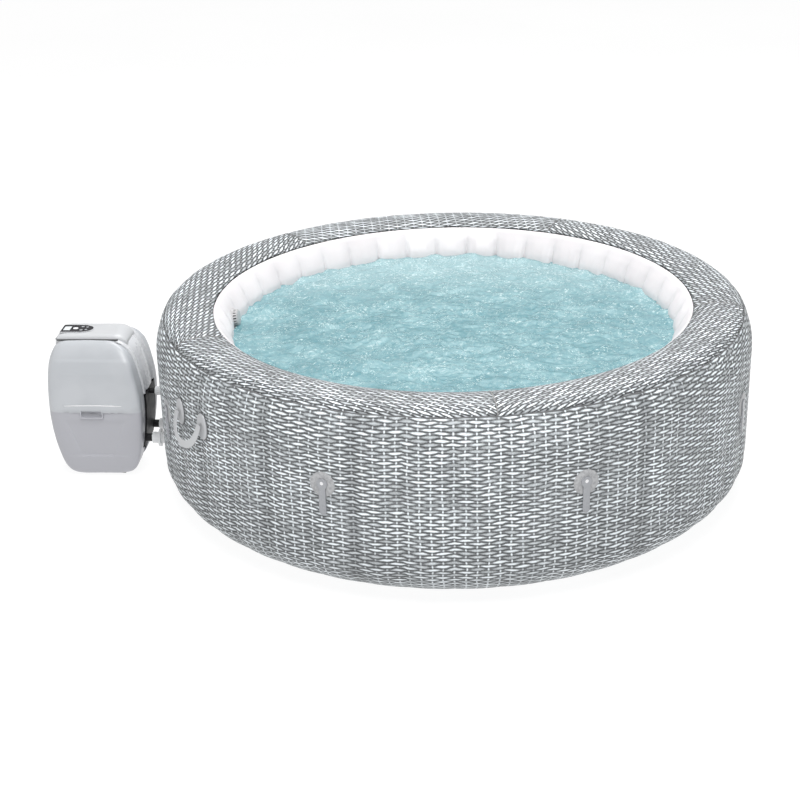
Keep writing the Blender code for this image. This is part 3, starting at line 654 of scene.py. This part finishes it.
def make_rim():
    """Five top panels: the print follows each one's chord, so it meets in mitres."""
    profile = []
    for i in range(10):
        a = SEAM_ANGLE + radians(0.6) + (pi / 2 - SEAM_ANGLE) * i / 9
        profile.append(upper_corner(min(a, pi / 2)))
    profile += [(0.955, TUB_HEIGHT), (0.935, TUB_HEIGHT - 0.0008), (0.910, TUB_HEIGHT - 0.005)]
    profile += [(0.888, TUB_HEIGHT - 0.0110), PANEL_INNER]
    line = resample([(r, 0, z) for r, z in profile], 0.009)
    total = line[-1][1]
    across = 130
    for k in range(PANELS):
        first = radians(MITRES[k])
        sweep = radians(MITRES[k + 1]) - first
        middle = first + sweep / 2

        def spot(i, j):
            (r, _, z), s = line[i][0], line[i][1]
            t = j / across
            a = first + sweep * t
            edge = min(t, 1 - t) * sweep * r
            dip = 0.0022 * bell(edge, 0.0, 0.004)
            tuck = 0.0025 * bell(s, 0.0, 0.006)
            swell = 0.0016 * bulge(a) * sin(pi * s / total)
            wave = seam_wave(a) * bell(s, 0.0, 0.030)
            return polar(r, a, z - dip - tuck + swell - 0.0016 + wave)

        def print_at(i, j):
            # unrolled distance from the inner edge, so the rows don't bunch up on the corner
            a = first + sweep * j / across - middle
            depth = total - line[i][1]
            r = (PANEL_INNER[0] + depth + 2.8 * max(0.0, depth - 0.10) ** 2) / 0.97
            return (r * sin(a) + 0.011 * k, r * cos(a))

        rows = [[spot(i, j) for j in range(across + 1)] for i in range(len(line))]
        bm = lattice(rows, False, print_at)
        panel = put(f"rim_panel_{k + 1}", bm, TOP, "tub", [f"top_panel_{k + 1}"])
        apply(thicken(panel, 0.0022))
        # the pale weld along the mitre
        rows = []
        sine, cosine = sin(first), cos(first)
        for (r, _, z), _ in line:
            foot = z - 0.0012
            rows.append([
                (r * cosine + w * -sine, r * sine + w * cosine,
                 foot + 0.0012 * (1 - (w / 0.0022) ** 2))
                for w in (-0.0022, -0.0011, 0.0, 0.0011, 0.0022)
            ])
        weld = put(f"rim_weld_{k + 1}", lattice(rows), WELD, "tub")
        apply(thicken(weld, 0.0008))


def make_liner():
    """White inner wall: it bellies out between webs and pinches into pleats at each."""
    inner_r, inner_z = PANEL_INNER
    rows = [
        (LINER_FOOT, 0.0050), (LINER_FOOT, 0.120), (LINER_FOOT + 0.002, 0.300),
        (LINER_FOOT + 0.010, 0.480), (LINER_FOOT + 0.020, 0.600), (LINER_FOOT + 0.040, 0.650),
        (LINER_FOOT + 0.0545, 0.675), (inner_r - 0.0065, inner_z - 0.0105),
        (inner_r - 0.001, inner_z - 0.0065),
    ]
    line = resample([(r, 0, z) for r, z in rows], 0.008)
    around = WEBS * 20

    def spot(i, j):
        r, _, z = line[i][0]
        a = 2 * pi * j / around
        web = (a * WEBS / (2 * pi)) % 1.0
        off = min(web, 1 - web)
        index = round(a * WEBS / (2 * pi)) % WEBS
        tall = 0.655 + 0.010 * noise.noise(Vector((index * 1.7, 0, 0)))
        # the skin lies flat round the guard
        swing = a - radians(GUARD_AZIMUTH)
        near = bell(atan2(sin(swing), cos(swing)), 0.0, 0.060)
        flat = 1 - near * smoothstep(0.50, 0.55, z)
        # the belly grows below the rim, and each web pulls a soft fold that ends in a point
        belly = 0.0150 * smoothstep(0.690, 0.605, z) * min(1.0, off / 0.34) ** 0.70 * flat
        reach = smoothstep(tall, tall - 0.090, z)
        tuck = 0.0085 * reach * exp(-((off / 0.045) ** 2))
        lip = 0.0036 * bell(off, 0.13, 0.06) * reach * flat
        r = r - belly - lip + tuck * 0.9
        drift = 0.0012 * noise.noise(Vector((cos(a) * 9, sin(a) * 9, z * 8)))
        return polar(r + drift, a, z)

    bm = lattice([[spot(i, j) for j in range(around)] for i in range(len(line))], True)
    liner = put("tub_liner", bm, LINER, "tub", ["inner_wall"], smooth=60)
    apply(thicken(liner, 0.0020))


def make_water():
    """A closed body of water with a churned surface, up to the liner."""
    rings, around = 118, 360
    bm = bmesh.new()

    def height(x, y):
        at = Vector((x * 7, y * 7, 0.0))
        swell = 0.0075 * noise.noise(at) + 0.0065 * noise.noise(at * 2.6)
        swell = swell + 0.0048 * noise.noise(at * 6.0)
        edge = 0.0120 * smoothstep(0.68, 0.80, hypot(x, y))
        swell += edge * noise.noise(at * 2.2 + Vector((5, 0, 0)))
        # the water dips in front of the guard
        return WATER_Z + swell - 0.016 * bell(hypot(x + 0.80, y - 0.06), 0.0, 0.13)

    centre = bm.verts.new((0, 0, height(0, 0)))
    made = []
    for i in range(1, rings + 1):
        ring = []
        for j in range(around):
            a = 2 * pi * j / around
            web = (a * WEBS / (2 * pi)) % 1.0
            off = min(web, 1 - web)
            edge = 0.8175 - 0.0120 * min(1.0, off / 0.34) ** 0.70
            r = edge * i / rings
            x, y = r * cos(a), r * sin(a)
            ring.append(bm.verts.new((x, y, height(x, y))))
        made.append(ring)
    for j in range(around):
        bm.faces.new((centre, made[0][j], made[0][(j + 1) % around]))
    for a, b in zip(made, made[1:]):
        for j in range(around):
            k = (j + 1) % around
            bm.faces.new((a[j], b[j], b[k], a[k]))
    low = [bm.verts.new((v.co.x * 0.965, v.co.y * 0.965, 0.045)) for v in made[-1]]
    for j in range(around):
        k = (j + 1) % around
        bm.faces.new((made[-1][j], low[j], low[k], made[-1][k]))
    bm.faces.new(low[::-1])
    face_out(bm)
    put("tub_water", bm, WATER, "tub", smooth=60)


def make_screen():
    """The drum-shaped guard on the liner, with slots through its side."""
    tilt = Matrix.Rotation(radians(GUARD_TILT), 4, "X")
    place = wall_frame(GUARD_AZIMUTH, 0.8165, 0.598) @ tilt @ UPRIGHT
    profile = [
        (0.0005, 0.0215), (0.0170, 0.0212), (0.0265, 0.0198), (0.0302, 0.0168),
        (0.0312, 0.0130), (0.0318, 0.0020), (0.0350, 0.0006), (0.0350, -0.0040),
        (0.0300, -0.0040), (0.0296, 0.0130), (0.0255, 0.0175), (0.0005, 0.0190),
    ]
    screen = put(
        "debris_guard", turned(profile, 72), GUARD, "tub",
        ["debris_screen"], place,
    )
    bm = bmesh.new()
    lift = Matrix.Translation((0, 0, 0.0108)) @ Matrix.Rotation(pi / 2, 4, "Y")
    for i in range(GUARD_SLOTS):
        start = len(bm.verts)
        prism(rounded_box(0.0062, 0.0023, 0.0021, 4), 0.024, 0.040, bm)
        bm.verts.ensure_lookup_table()
        turn = Matrix.Rotation(2 * pi * (i + 0.5) / GUARD_SLOTS, 4, "Z") @ lift
        bmesh.ops.transform(bm, matrix=turn, verts=bm.verts[start:])
    apply(screen, carve(screen, "slots", bm, place))
    # a black core inside the guard: painted shade that shows through the slots
    core = turned(
        [(0.0005, 0.0160), (0.0240, 0.0150), (0.0280, 0.0110), (0.0280, -0.0030), (0.0005, -0.0030)]
    )
    put("debris_guard_shade_core", core, BLACK, "tub", place=place)


# ---------------------------------------------------------------- clips and handles
def make_clip(index, azimuth):
    """A welded round patch, a moulded buckle on it and a hanging tail."""
    radius, height = CLIP_PATCH
    profile = [
        (0.0005, 0.0016), (radius - 0.004, 0.0016), (radius, 0.0004),
        (radius, -0.0012), (0.0005, -0.0012),
    ]
    place = wall_frame(azimuth, TUB_RADIUS, height) @ ALONG_Y
    patch = turned(profile, 56)
    put(f"clip_patch_{index}", patch, PATCH, "tub", place=place)
    hinge = wall_frame(azimuth, TUB_RADIUS, CLIP_HINGE)
    place = hinge @ Matrix.Translation((0, 0.0045, 0)) @ UPRIGHT
    head = arc(0.0185, 25, (0, -0.020), radians(-52), radians(284))
    tail = arc(0.0125, 13, (0, -0.1150), pi, pi)
    clip = put(
        f"clip_{index}", prism(head + tail, -0.0022, 0.0022), MOULDED, f"clip_{index}",
        [f"cover_clip_{index}"], place,
    )
    hole = carve(clip, "hole", prism(arc(0.0062, 20, (0, -0.0170)), -0.02, 0.02), place)
    apply(round_edges(clip, 0.0009, 2), hole)
    # the raised rib down the tail
    bm = prism(rounded_box(0.0040, 0.032, 0.0038), 0.0018, 0.0034)
    bmesh.ops.translate(bm, vec=(0, -0.070, 0), verts=bm.verts)
    put(f"clip_rib_{index}", bm, MOULDED, f"clip_{index}", place=place)
    # the domed pin that it hangs from, in white plastic as a painted highlight of its glint
    profile = [
        (0.0003, 0.0052), (0.0030, 0.0048), (0.0052, 0.0034),
        (0.0060, 0.0012), (0.0060, -0.0015), (0.0003, -0.0015),
    ]
    place = place @ Matrix.Translation((0, -0.0170, 0))
    pin_glint = turned(profile, 28)
    put(f"clip_pin_glint_{index}", pin_glint, WHITE_PLASTIC, "tub", place=place)


def leaf(width, height, points=21):
    """An upright outline, rounded at the sides and pointed at both ends."""
    half = height / 2
    side = [pi * i / (points - 1) - pi / 2 for i in range(points)]
    right = [(width / 2 * max(0.0, cos(a)) ** 0.8, half * sin(a)) for a in side[1:-1]]
    return [(0, -half), *right, (0, half), *[(-x, z) for x, z in reversed(right)]]


def make_handle(index, azimuth):
    """Two leaf-shaped pads and the loose strap between them."""
    out, hinge_z = HANDLE_HINGE
    for side, sign in enumerate((-1, 1)):
        number = 2 * index + side + 1
        base = wall_frame(azimuth + sign * HANDLE_HALF, TUB_RADIUS, 0.500)
        place = base @ Matrix.Translation((0, 0.0042, 0)) @ UPRIGHT
        # domed: rings of the leaf that rise as they shrink
        rows = []
        for scale, z in (
            (1.0, 0.0035), (1.0, 0.0008), (0.94, -0.0016),
            (0.80, -0.0030), (0.45, -0.0036), (0.02, -0.0038),
        ):
            tall = 1 - (1 - scale) * 0.6
            rows.append([(x * scale, y * tall, z) for x, y in leaf(0.054, 0.092)])
        bm = lattice(rows, True)
        bm.verts.ensure_lookup_table()
        bm.faces.new(bm.verts[: len(rows[0])])
        face_out(bm)
        put(
            f"handle_leaf_{number}", bm, STRAP, "tub",
            [f"handle_pad_{number}"], place,
        )
        # the flat welded margin round the pad
        bm = prism(leaf(0.062, 0.100), 0.0030, 0.0042)
        put(f"handle_margin_{number}", bm, SHADOW_AND_MARGIN, "tub", place=place)
    half = TUB_RADIUS * sin(radians(HANDLE_HALF))
    drop, reach, width = 0.085, 0.028, 0.0260
    rows, count = [], 61
    for i in range(count):
        a = pi / 2 * (-1 + 2 * i / (count - 1))
        fall = max(0.0, cos(a)) ** 0.75
        middle = Vector((half * sin(a), reach * fall, -drop * fall))
        along = Vector((cos(a) + 0.05, 0, drop / half * sin(a))).normalized()
        across = Vector((-along.z, 0, along.x)) * width / 2
        crown = Vector((0, 0.0010, 0))
        rows.append([
            middle - across, middle - across * 0.5 + crown, middle + crown,
            middle + across * 0.5 + crown, middle + across,
        ])
    name = f"handle_band_{index + 1}"
    place = wall_frame(azimuth, TUB_RADIUS + out, hinge_z)
    band = put(
        name, lattice(rows), STRAP, f"handle_{index + 1}",
        [f"handle_strap_{index + 1}"], place,
    )
    apply(round_edges(thicken(band, 0.0034, 0.0), 0.0010, 2, 50))


# ---------------------------------------------------------------- pump
def depth_at(z):
    """How far the shells' faces stand from the pump's middle plane."""
    low = 0.040 * max(0.0, (PUMP_CENTRE_Z - z) / PUMP_CENTRE_Z) ** 1.5
    high = 0.045 * max(0.0, (z - 0.44) / 0.12) ** 1.6
    return PUMP_DEPTH - low - high


def shell_detail(x, z):
    """How far the moulded lines push a shell's face in, at an offset and a height."""
    crease = 0.286 + 0.26 * x * x
    inside = smoothstep(-0.126, -0.108, x) * smoothstep(0.122, 0.104, x)
    # the lid's lower edge stands out above the crease, with a bright ledge along its top
    proud = smoothstep(crease, crease + 0.0025, z)
    ledge = smoothstep(0.3225, 0.3185, z)
    d = 0.0042 * (1 - proud) - 0.0036 * inside * ledge * smoothstep(0.290, 0.306, z)
    d += 0.0016 * bell(z, crease - 0.0005, 0.0016)
    # two converging facets below the crease
    slope = (z - 0.104) / 0.150
    left, right = -0.074 - 0.040 * slope, 0.049 + 0.062 * slope
    facet = smoothstep(left - 0.006, left + 0.006, x) * smoothstep(right + 0.006, right - 0.006, x)
    d += 0.0034 * facet * smoothstep(0.100, 0.106, z) * smoothstep(0.262, 0.236, z)
    d -= 0.0022 * smoothstep(0.1025, 0.0985, z)
    # the upper band rolls back from the face
    d += 0.0030 * smoothstep(0.486, 0.500, z)
    return d


def make_shell(name, sign, node):
    """Half of the pump's case: a corner that turns from the middle plane onto the face."""
    outline = smooth_loop(EGG, 8)
    bm = bmesh.new()
    count = len(outline)
    levels, face_levels = 30, 128
    corner = pi / 2 * 0.52

    def skin(shrink, inset):
        rings = []
        for k in range(levels + face_levels):
            ring = []
            for dx, z in outline:
                # the tub side turns through a much tighter corner than the others
                power = 0.31 - 0.18 * smoothstep(0.07, 0.135, dx)
                if k < levels:
                    a = corner * k / levels
                    scale, lift = cos(a) ** power, sin(a) ** power
                else:
                    edge = cos(corner) ** power
                    scale = edge * (1 - (k - levels) / face_levels)
                    lift = sin(acos(scale ** (1 / power))) ** power
                height = PUMP_CENTRE_Z + (z - PUMP_CENTRE_Z) * scale
                reach = SPINE_HALF + (depth_at(height) - SPINE_HALF) * lift
                reach -= shell_detail(dx * scale, height) * smoothstep(0.70, 0.93, lift)
                reach = max(SPINE_HALF, reach - inset)
                height = PUMP_CENTRE_Z + (height - PUMP_CENTRE_Z) * shrink
                ring.append(bm.verts.new((PUMP_X + dx * scale * shrink, sign * reach, height)))
            rings.append(ring)
        reach = depth_at(PUMP_CENTRE_Z) - shell_detail(0.0, PUMP_CENTRE_Z) - inset
        middle = bm.verts.new((PUMP_X, sign * reach, PUMP_CENTRE_Z))
        for a, b in zip(rings, rings[1:]):
            for i in range(count):
                j = (i + 1) % count
                bm.faces.new((a[i], a[j], b[j], b[i]))
        for i in range(count):
            bm.faces.new((rings[-1][i], rings[-1][(i + 1) % count], middle))
        return rings[0]

    outer, inner = skin(1.0, 0.0), skin(0.985, 0.0030)
    for i in range(count):
        j = (i + 1) % count
        bm.faces.new((outer[i], outer[j], inner[j], inner[i]))
    face_out(bm)
    shell = put(name, bm, SHELL, "pump", [node], PUMP_AXES, 35)
    cuts = []
    low, high, half, foot, _ = CONSOLE
    for label, size_low, size_high in (
        ("console", (low - 0.004, -half - 0.0070, foot), (high + 0.003, half + 0.0070, 0.62)),
        ("hood", (0.090, -HOOD_HALF - 0.001, 0.112), (0.250, HOOD_HALF + 0.001, 0.62)),
        ("grip", (GRIP_X[0], -0.2, GRIP_Z[0]), (GRIP_X[1], 0.2, GRIP_Z[1])),
    ):
        bm = bmesh.new()
        bmesh.ops.create_cube(bm, size=1)
        for v in bm.verts:
            for axis in range(3):
                v.co[axis] = size_low[axis] if v.co[axis] < 0 else size_high[axis]
            v.co.x += PUMP_X
        cuts.append(carve(shell, label, bm, PUMP_AXES))
    apply(shell, *cuts)


def make_grip(name, sign):
    """The grip's moulded cup: a shallow tray behind the opening, with a rolled frame."""
    middle_x, middle_z = GRIP_CENTRE
    face = depth_at(middle_z)
    rows = []
    for half_x, half_z, inset in (
        (0.0445, 0.0200, 0.0060), (0.0443, 0.0198, 0.0006), (0.0430, 0.0185, -0.0016),
        (0.0405, 0.0160, -0.0018), (0.0386, 0.0141, -0.0004), (0.0378, 0.0133, 0.0100),
        (0.0350, 0.0110, 0.0120), (0.0010, 0.0010, 0.0120),
    ):
        outline = rounded_box(half_x, half_z, min(half_z * 0.6, 0.005), 6)
        depth = sign * (face - inset)
        rows.append([(PUMP_X + middle_x + x, depth, middle_z + z) for x, z in outline])
    cup = put(name, lattice(rows, True), SHELL, "pump", place=PUMP_AXES)
    apply(thicken(cup, 0.0015))


def make_ledge_highlight(name, sign):
    """A pale bead along the lid's ledge, tapered at both ends: a painted highlight where the ledge
    catches the light.
    """
    rows = []
    for i in range(49):
        t = -1 + i / 24
        x, size = -0.002 + 0.117 * t, (1 - abs(t) ** 5) * 0.0016 + 0.0002
        z = 0.3200 - 0.0016 * t * t
        front = depth_at(z) - (shell_detail(x, z) if abs(t) < 1 else 0.0)
        rows.append([
            (PUMP_X + x, sign * (front - 0.0012 + size * 1.6 * cos(a)), z + size * sin(a))
            for a in (-pi / 2 + pi * k / 8 for k in range(9))
        ])
    bm = face_out(lattice(rows, True))
    # white plastic for the painted highlight
    put(name, bm, WHITE_PLASTIC, "pump", place=PUMP_AXES)


def on_outline(point, scale):
    """X and height of an outline's point, with the outline drawn larger or smaller."""
    dx, z = point
    return PUMP_X + dx * scale, PUMP_CENTRE_Z + (z - PUMP_CENTRE_Z) * scale


def tub_side(heights, scale):
    """Points of the outline's tub side that land on the given heights once scaled."""
    side = [p for p in smooth_loop(EGG, 8) if p[0] > 0.05 and p[1] < 0.5495]
    side.sort(key=lambda p: p[1])
    made = []
    for height in heights:
        wanted = PUMP_CENTRE_Z + (height - PUMP_CENTRE_Z) / scale
        for a, b in zip(side, side[1:]):
            if a[1] <= wanted <= b[1]:
                made.append(a.lerp(b, (wanted - a[1]) / (b[1] - a[1])))
                break
    return made


def channel(low, high, count, ridge=0.0):
    """Rows across the tub side: foot, rounded edge, face, rounded edge, foot."""
    outer, inner = HOOD_SCALE
    heights = [low + (high - low) * i / (count - 1) for i in range(count)]
    rows = []
    for point in tub_side(heights, outer):
        x, z = on_outline(point, outer)
        foot, _ = on_outline(point, inner)
        edge = [(foot, 1.0), ((foot + x) / 2, 1.0)]
        for k in range(7):
            a = pi / 2 * k / 6
            edge.append((x - 0.008 + 0.008 * sin(a), 1.0 - 0.105 * (1 - cos(a))))
        steps = (0.8, 0.7, 0.62, 0.54, 0.45, 0.3, 0.15, 0.0)
        half_row = edge + [(x - ridge * bell(t, 0.62, 0.14), t) for t in steps]
        row = [(px, -HOOD_HALF * t, z) for px, t in half_row]
        row += [(px, HOOD_HALF * t, z) for px, t in half_row[-2::-1]]
        rows.append(row)
    return rows


def strip_piece(name, rows, material, node):
    """A thick strip that wraps the pump between or over its shells."""
    made = put(name, lattice(rows), material, "pump", [node], PUMP_AXES, 45)
    thicken(made, 0.0026).modifiers["thickness"].use_even_offset = False
    return apply(made)


def make_pump_body():
    for side, sign in (("front", -1), ("rear", 1)):
        make_shell(f"pump_shell_{side}", sign, f"pump_{side}_shell")
        make_grip(f"pump_grip_{side}", sign)
        make_ledge_highlight(f"pump_ledge_highlight_{side}", sign)
    outline = smooth_loop(EGG, 6)
    last = max(i for i, p in enumerate(outline) if p[0] < -0.1 and p[1] < 0.532)
    first = min(i for i, p in enumerate(outline) if p[0] > 0.05 and p[1] < 0.085)
    rows = []
    for point in outline[first:] + outline[: last + 1]:
        x, z = on_outline(point, SPINE_SCALE)
        rows.append([(x, y, z) for y in (-0.060, -0.040, -0.020, 0.0, 0.020, 0.040, 0.060)])
    strip_piece("pump_spine_band", rows, SPINE, "pump_spine")
    strip_piece("pump_hood_cover", channel(0.337, 0.5490, 60, 0.006), HOOD, "pump_hood")


def on_console(u, v):
    """X and Y for a spot on the tongue, which runs from -1 to 1 both ways."""
    low, high, half = CONSOLE[:3]
    narrow = 1 - 0.16 * max(0.0, (u - 0.7) / 0.3) ** 2
    return PUMP_X + (low + high) / 2 + u * (high - low) / 2, v * half * narrow


def make_console():
    """The rounded tongue on top, whose tub end bends down over the hood."""
    foot, top = CONSOLE[3:]
    bm = bmesh.new()
    bmesh.ops.create_grid(bm, x_segments=72, y_segments=40, size=1)
    for vert in bm.verts:
        u, v = (sin(pi / 2 * c) for c in (vert.co.x, vert.co.y))
        rise = (max(0.0, 1 - abs(u) ** 8) * max(0.0, 1 - abs(v) ** 8)) ** 0.125
        bend = max(0.0, (u - 0.62) / 0.38) ** 2 * 0.017
        vert.co = (*on_console(u, v), foot + (top - foot - bend) * rise)
    console = put(
        "console_cover", bm, CONSOLE_PLASTIC, "pump",
        ["pump_console"], PUMP_AXES, 60,
    )
    apply(thicken(console, 0.0026))
    # a dark strip round the tongue's edge: painted shadow in the gap where it sits on the shells, its
    # edge found by halving
    line = []
    for i in range(73):
        turn = radians(52 + 256 * i / 72)
        lo, hi = 0.5, 1.42
        for _ in range(30):
            size = (lo + hi) / 2
            u, v = size * cos(turn), size * sin(turn)
            inside = abs(u) < 1 and abs(v) < 1 and (1 - abs(u) ** 8) * (1 - abs(v) ** 8) > 0.015
            lo, hi = (size, hi) if inside else (lo, size)
        line.append(on_console(u, v))
    bm = lattice([[(x, y, z) for x, y in line] for z in (0.5440, 0.5475, 0.5500, 0.5518)])
    gap_shadow = put("console_gap_shadow", bm, SHADOW_AND_MARGIN, "pump", place=PUMP_AXES)
    apply(thicken(gap_shadow, 0.0012, 0.0))
    # raised rim round the keypad
    end = arc(0.036, 25, (-0.072, 0), -pi / 2, pi)
    end = [(-0.072 + (x + 0.072) * 1.4, y) for x, y in end]
    outline = [(-0.138, -0.036), *end, (-0.138, 0.036)]
    rows = []
    for grow, z in (
        (1.05, 0.5668), (1.05, 0.5690), (1.035, 0.5706), (1.012, 0.5706), (1.004, 0.5690),
    ):
        rows.append([
            (PUMP_X + KEYPAD_SHIFT[0] - 0.080 + (x + 0.080) * grow, KEYPAD_SHIFT[1] + y * grow, z)
            for x, y in outline
        ])
    bm = face_out(lattice(rows, True))
    rim = put("keypad_rim", bm, CONSOLE_PLASTIC, "pump", place=PUMP_AXES)
    apply(thicken(rim, 0.0006))


def dress_cad_nodes():
    """A procedural material for every CAD node that stays in view."""
    by_node = {
        "tub_floor": LINER, "air_jet_ring": LINER, "base_sheet": BASE, "wall_baffles": WEB,
        "debris_screen": WHITE_PLASTIC, "pump_back_plate": BLACK, "pump_base": BLACK,
        "cable_gland": BLACK, "water_volute": BLACK, "blower_housing": BLACK,
        "water_motor": CAN, "impeller": CAN, "blower_fan": CAN, "heater_tube": STEEL,
        "circuit_board": BOARD, "control_panel": KEYPAD, "display_window": DISPLAY,
        "button_power": KEY_WHITE,
    }
    for name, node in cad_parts.items():
        material = by_node.get(name)
        if material is None:
            if name.startswith("button_"):
                material = KEY_GREY
            elif name.startswith("coupling_nut") or name.endswith("wall_fitting"):
                material = UNION
            else:
                material = MOULDED
        node.data.materials.clear()
        node.data.materials.append(material)
        node.data.shade_smooth()
        node.data.set_sharp_from_angle(angle=radians(35))


# ---------------------------------------------------------------- stage
FLOOR_HALF, FLOOR_GLOW = 160, 0.905
DOME = ((0.09, 0.97), (0.20, 0.33))  # brightness at two heights of the sky
LAMPS = (  # name, place, size, watts
    ("key", (-0.1, -3.0, 5.2), 3.0, 275),
    ("back", (0.2, 2.8, 5.0), 3.2, 205),
)
CAMERA_PLACE = (0, -5.4437, 2.6631)
CAMERA_TURN = (23.573, -2.092, -1.449)  # pitch, yaw and roll in degrees
FOCAL_LENGTH, SENSOR_WIDTH = 71.24, 36


def make_floor():
    """A floor that gives off light, so that it looks white and nearly shadowless."""
    bm = bmesh.new()
    bmesh.ops.create_grid(bm, x_segments=1, y_segments=1, size=FLOOR_HALF)
    bmesh.ops.translate(bm, vec=(0, 10, -0.0005), verts=bm.verts)
    floor = link("floor", mesh_of("floor", bm))
    g = Graph("white_floor")
    tone = g.span(g.noise(0.6, 2.0), 0.3, 0.7, 0.15, 0.17)
    g.surface(
        Base_Color=g.even(tone), Roughness=0.9,
        Emission_Color=(1, 1, 1, 1), Emission_Strength=FLOOR_GLOW,
    )
    floor.data.materials.append(g.material)


def make_light():
    """A studio dome, white at the horizon and dimmer overhead, and two soft lamps."""
    world = bpy.data.worlds.new("studio")
    bpy.context.scene.world = world
    world.use_nodes = True
    nodes, links = world.node_tree.nodes, world.node_tree.links
    parts = nodes.new("ShaderNodeSeparateXYZ")
    links.new(nodes.new("ShaderNodeTexCoord").outputs["Generated"], parts.inputs[0])
    dome = nodes.new("ShaderNodeValToRGB")
    links.new(parts.outputs[2], dome.inputs[0])
    for element, (height, level) in zip(dome.color_ramp.elements, DOME):
        element.position = height
        element.color = (*grey(level), 1)
    links.new(dome.outputs[0], nodes["Background"].inputs[0])
    nodes["Background"].inputs[1].default_value = 1.0
    for name, where, size, power in LAMPS:
        lamp = bpy.data.lights.new(name, "AREA")
        lamp.size = size
        lamp.energy = power
        aim = Vector((0, 0, 0.35)) - Vector(where)
        turn = aim.to_track_quat("-Z", "Y").to_matrix().to_4x4()
        link(name, lamp, Matrix.Translation(where) @ turn)


def make_camera():
    pitch, yaw, roll = (radians(a) for a in CAMERA_TURN)
    level = cos(pitch)
    forward = Vector((sin(yaw) * level, cos(yaw) * level, -sin(pitch)))
    right = Vector((cos(yaw), -sin(yaw), 0))
    up = right.cross(forward)
    right, up = (
        right * cos(roll) + up * sin(roll),
        up * cos(roll) - right * sin(roll),
    )
    lens = bpy.data.cameras.new("camera")
    lens.lens = FOCAL_LENGTH
    lens.sensor_width = SENSOR_WIDTH
    turn = Matrix((right, up, -forward)).transposed().to_4x4()
    camera = link("camera", lens, Matrix.Translation(CAMERA_PLACE) @ turn)
    bpy.context.scene.camera = camera
    bpy.context.scene.view_settings.view_transform = "Standard"


make_floor()
make_light()
make_camera()
dress_cad_nodes()
make_wall()
make_rim()
make_liner()
make_water()
make_screen()
for number, azimuth in enumerate(CLIP_AZIMUTHS):
    make_clip(number + 1, azimuth)
for number, azimuth in enumerate(HANDLE_AZIMUTHS):
    make_handle(number, azimuth)
make_pump_body()
make_console()
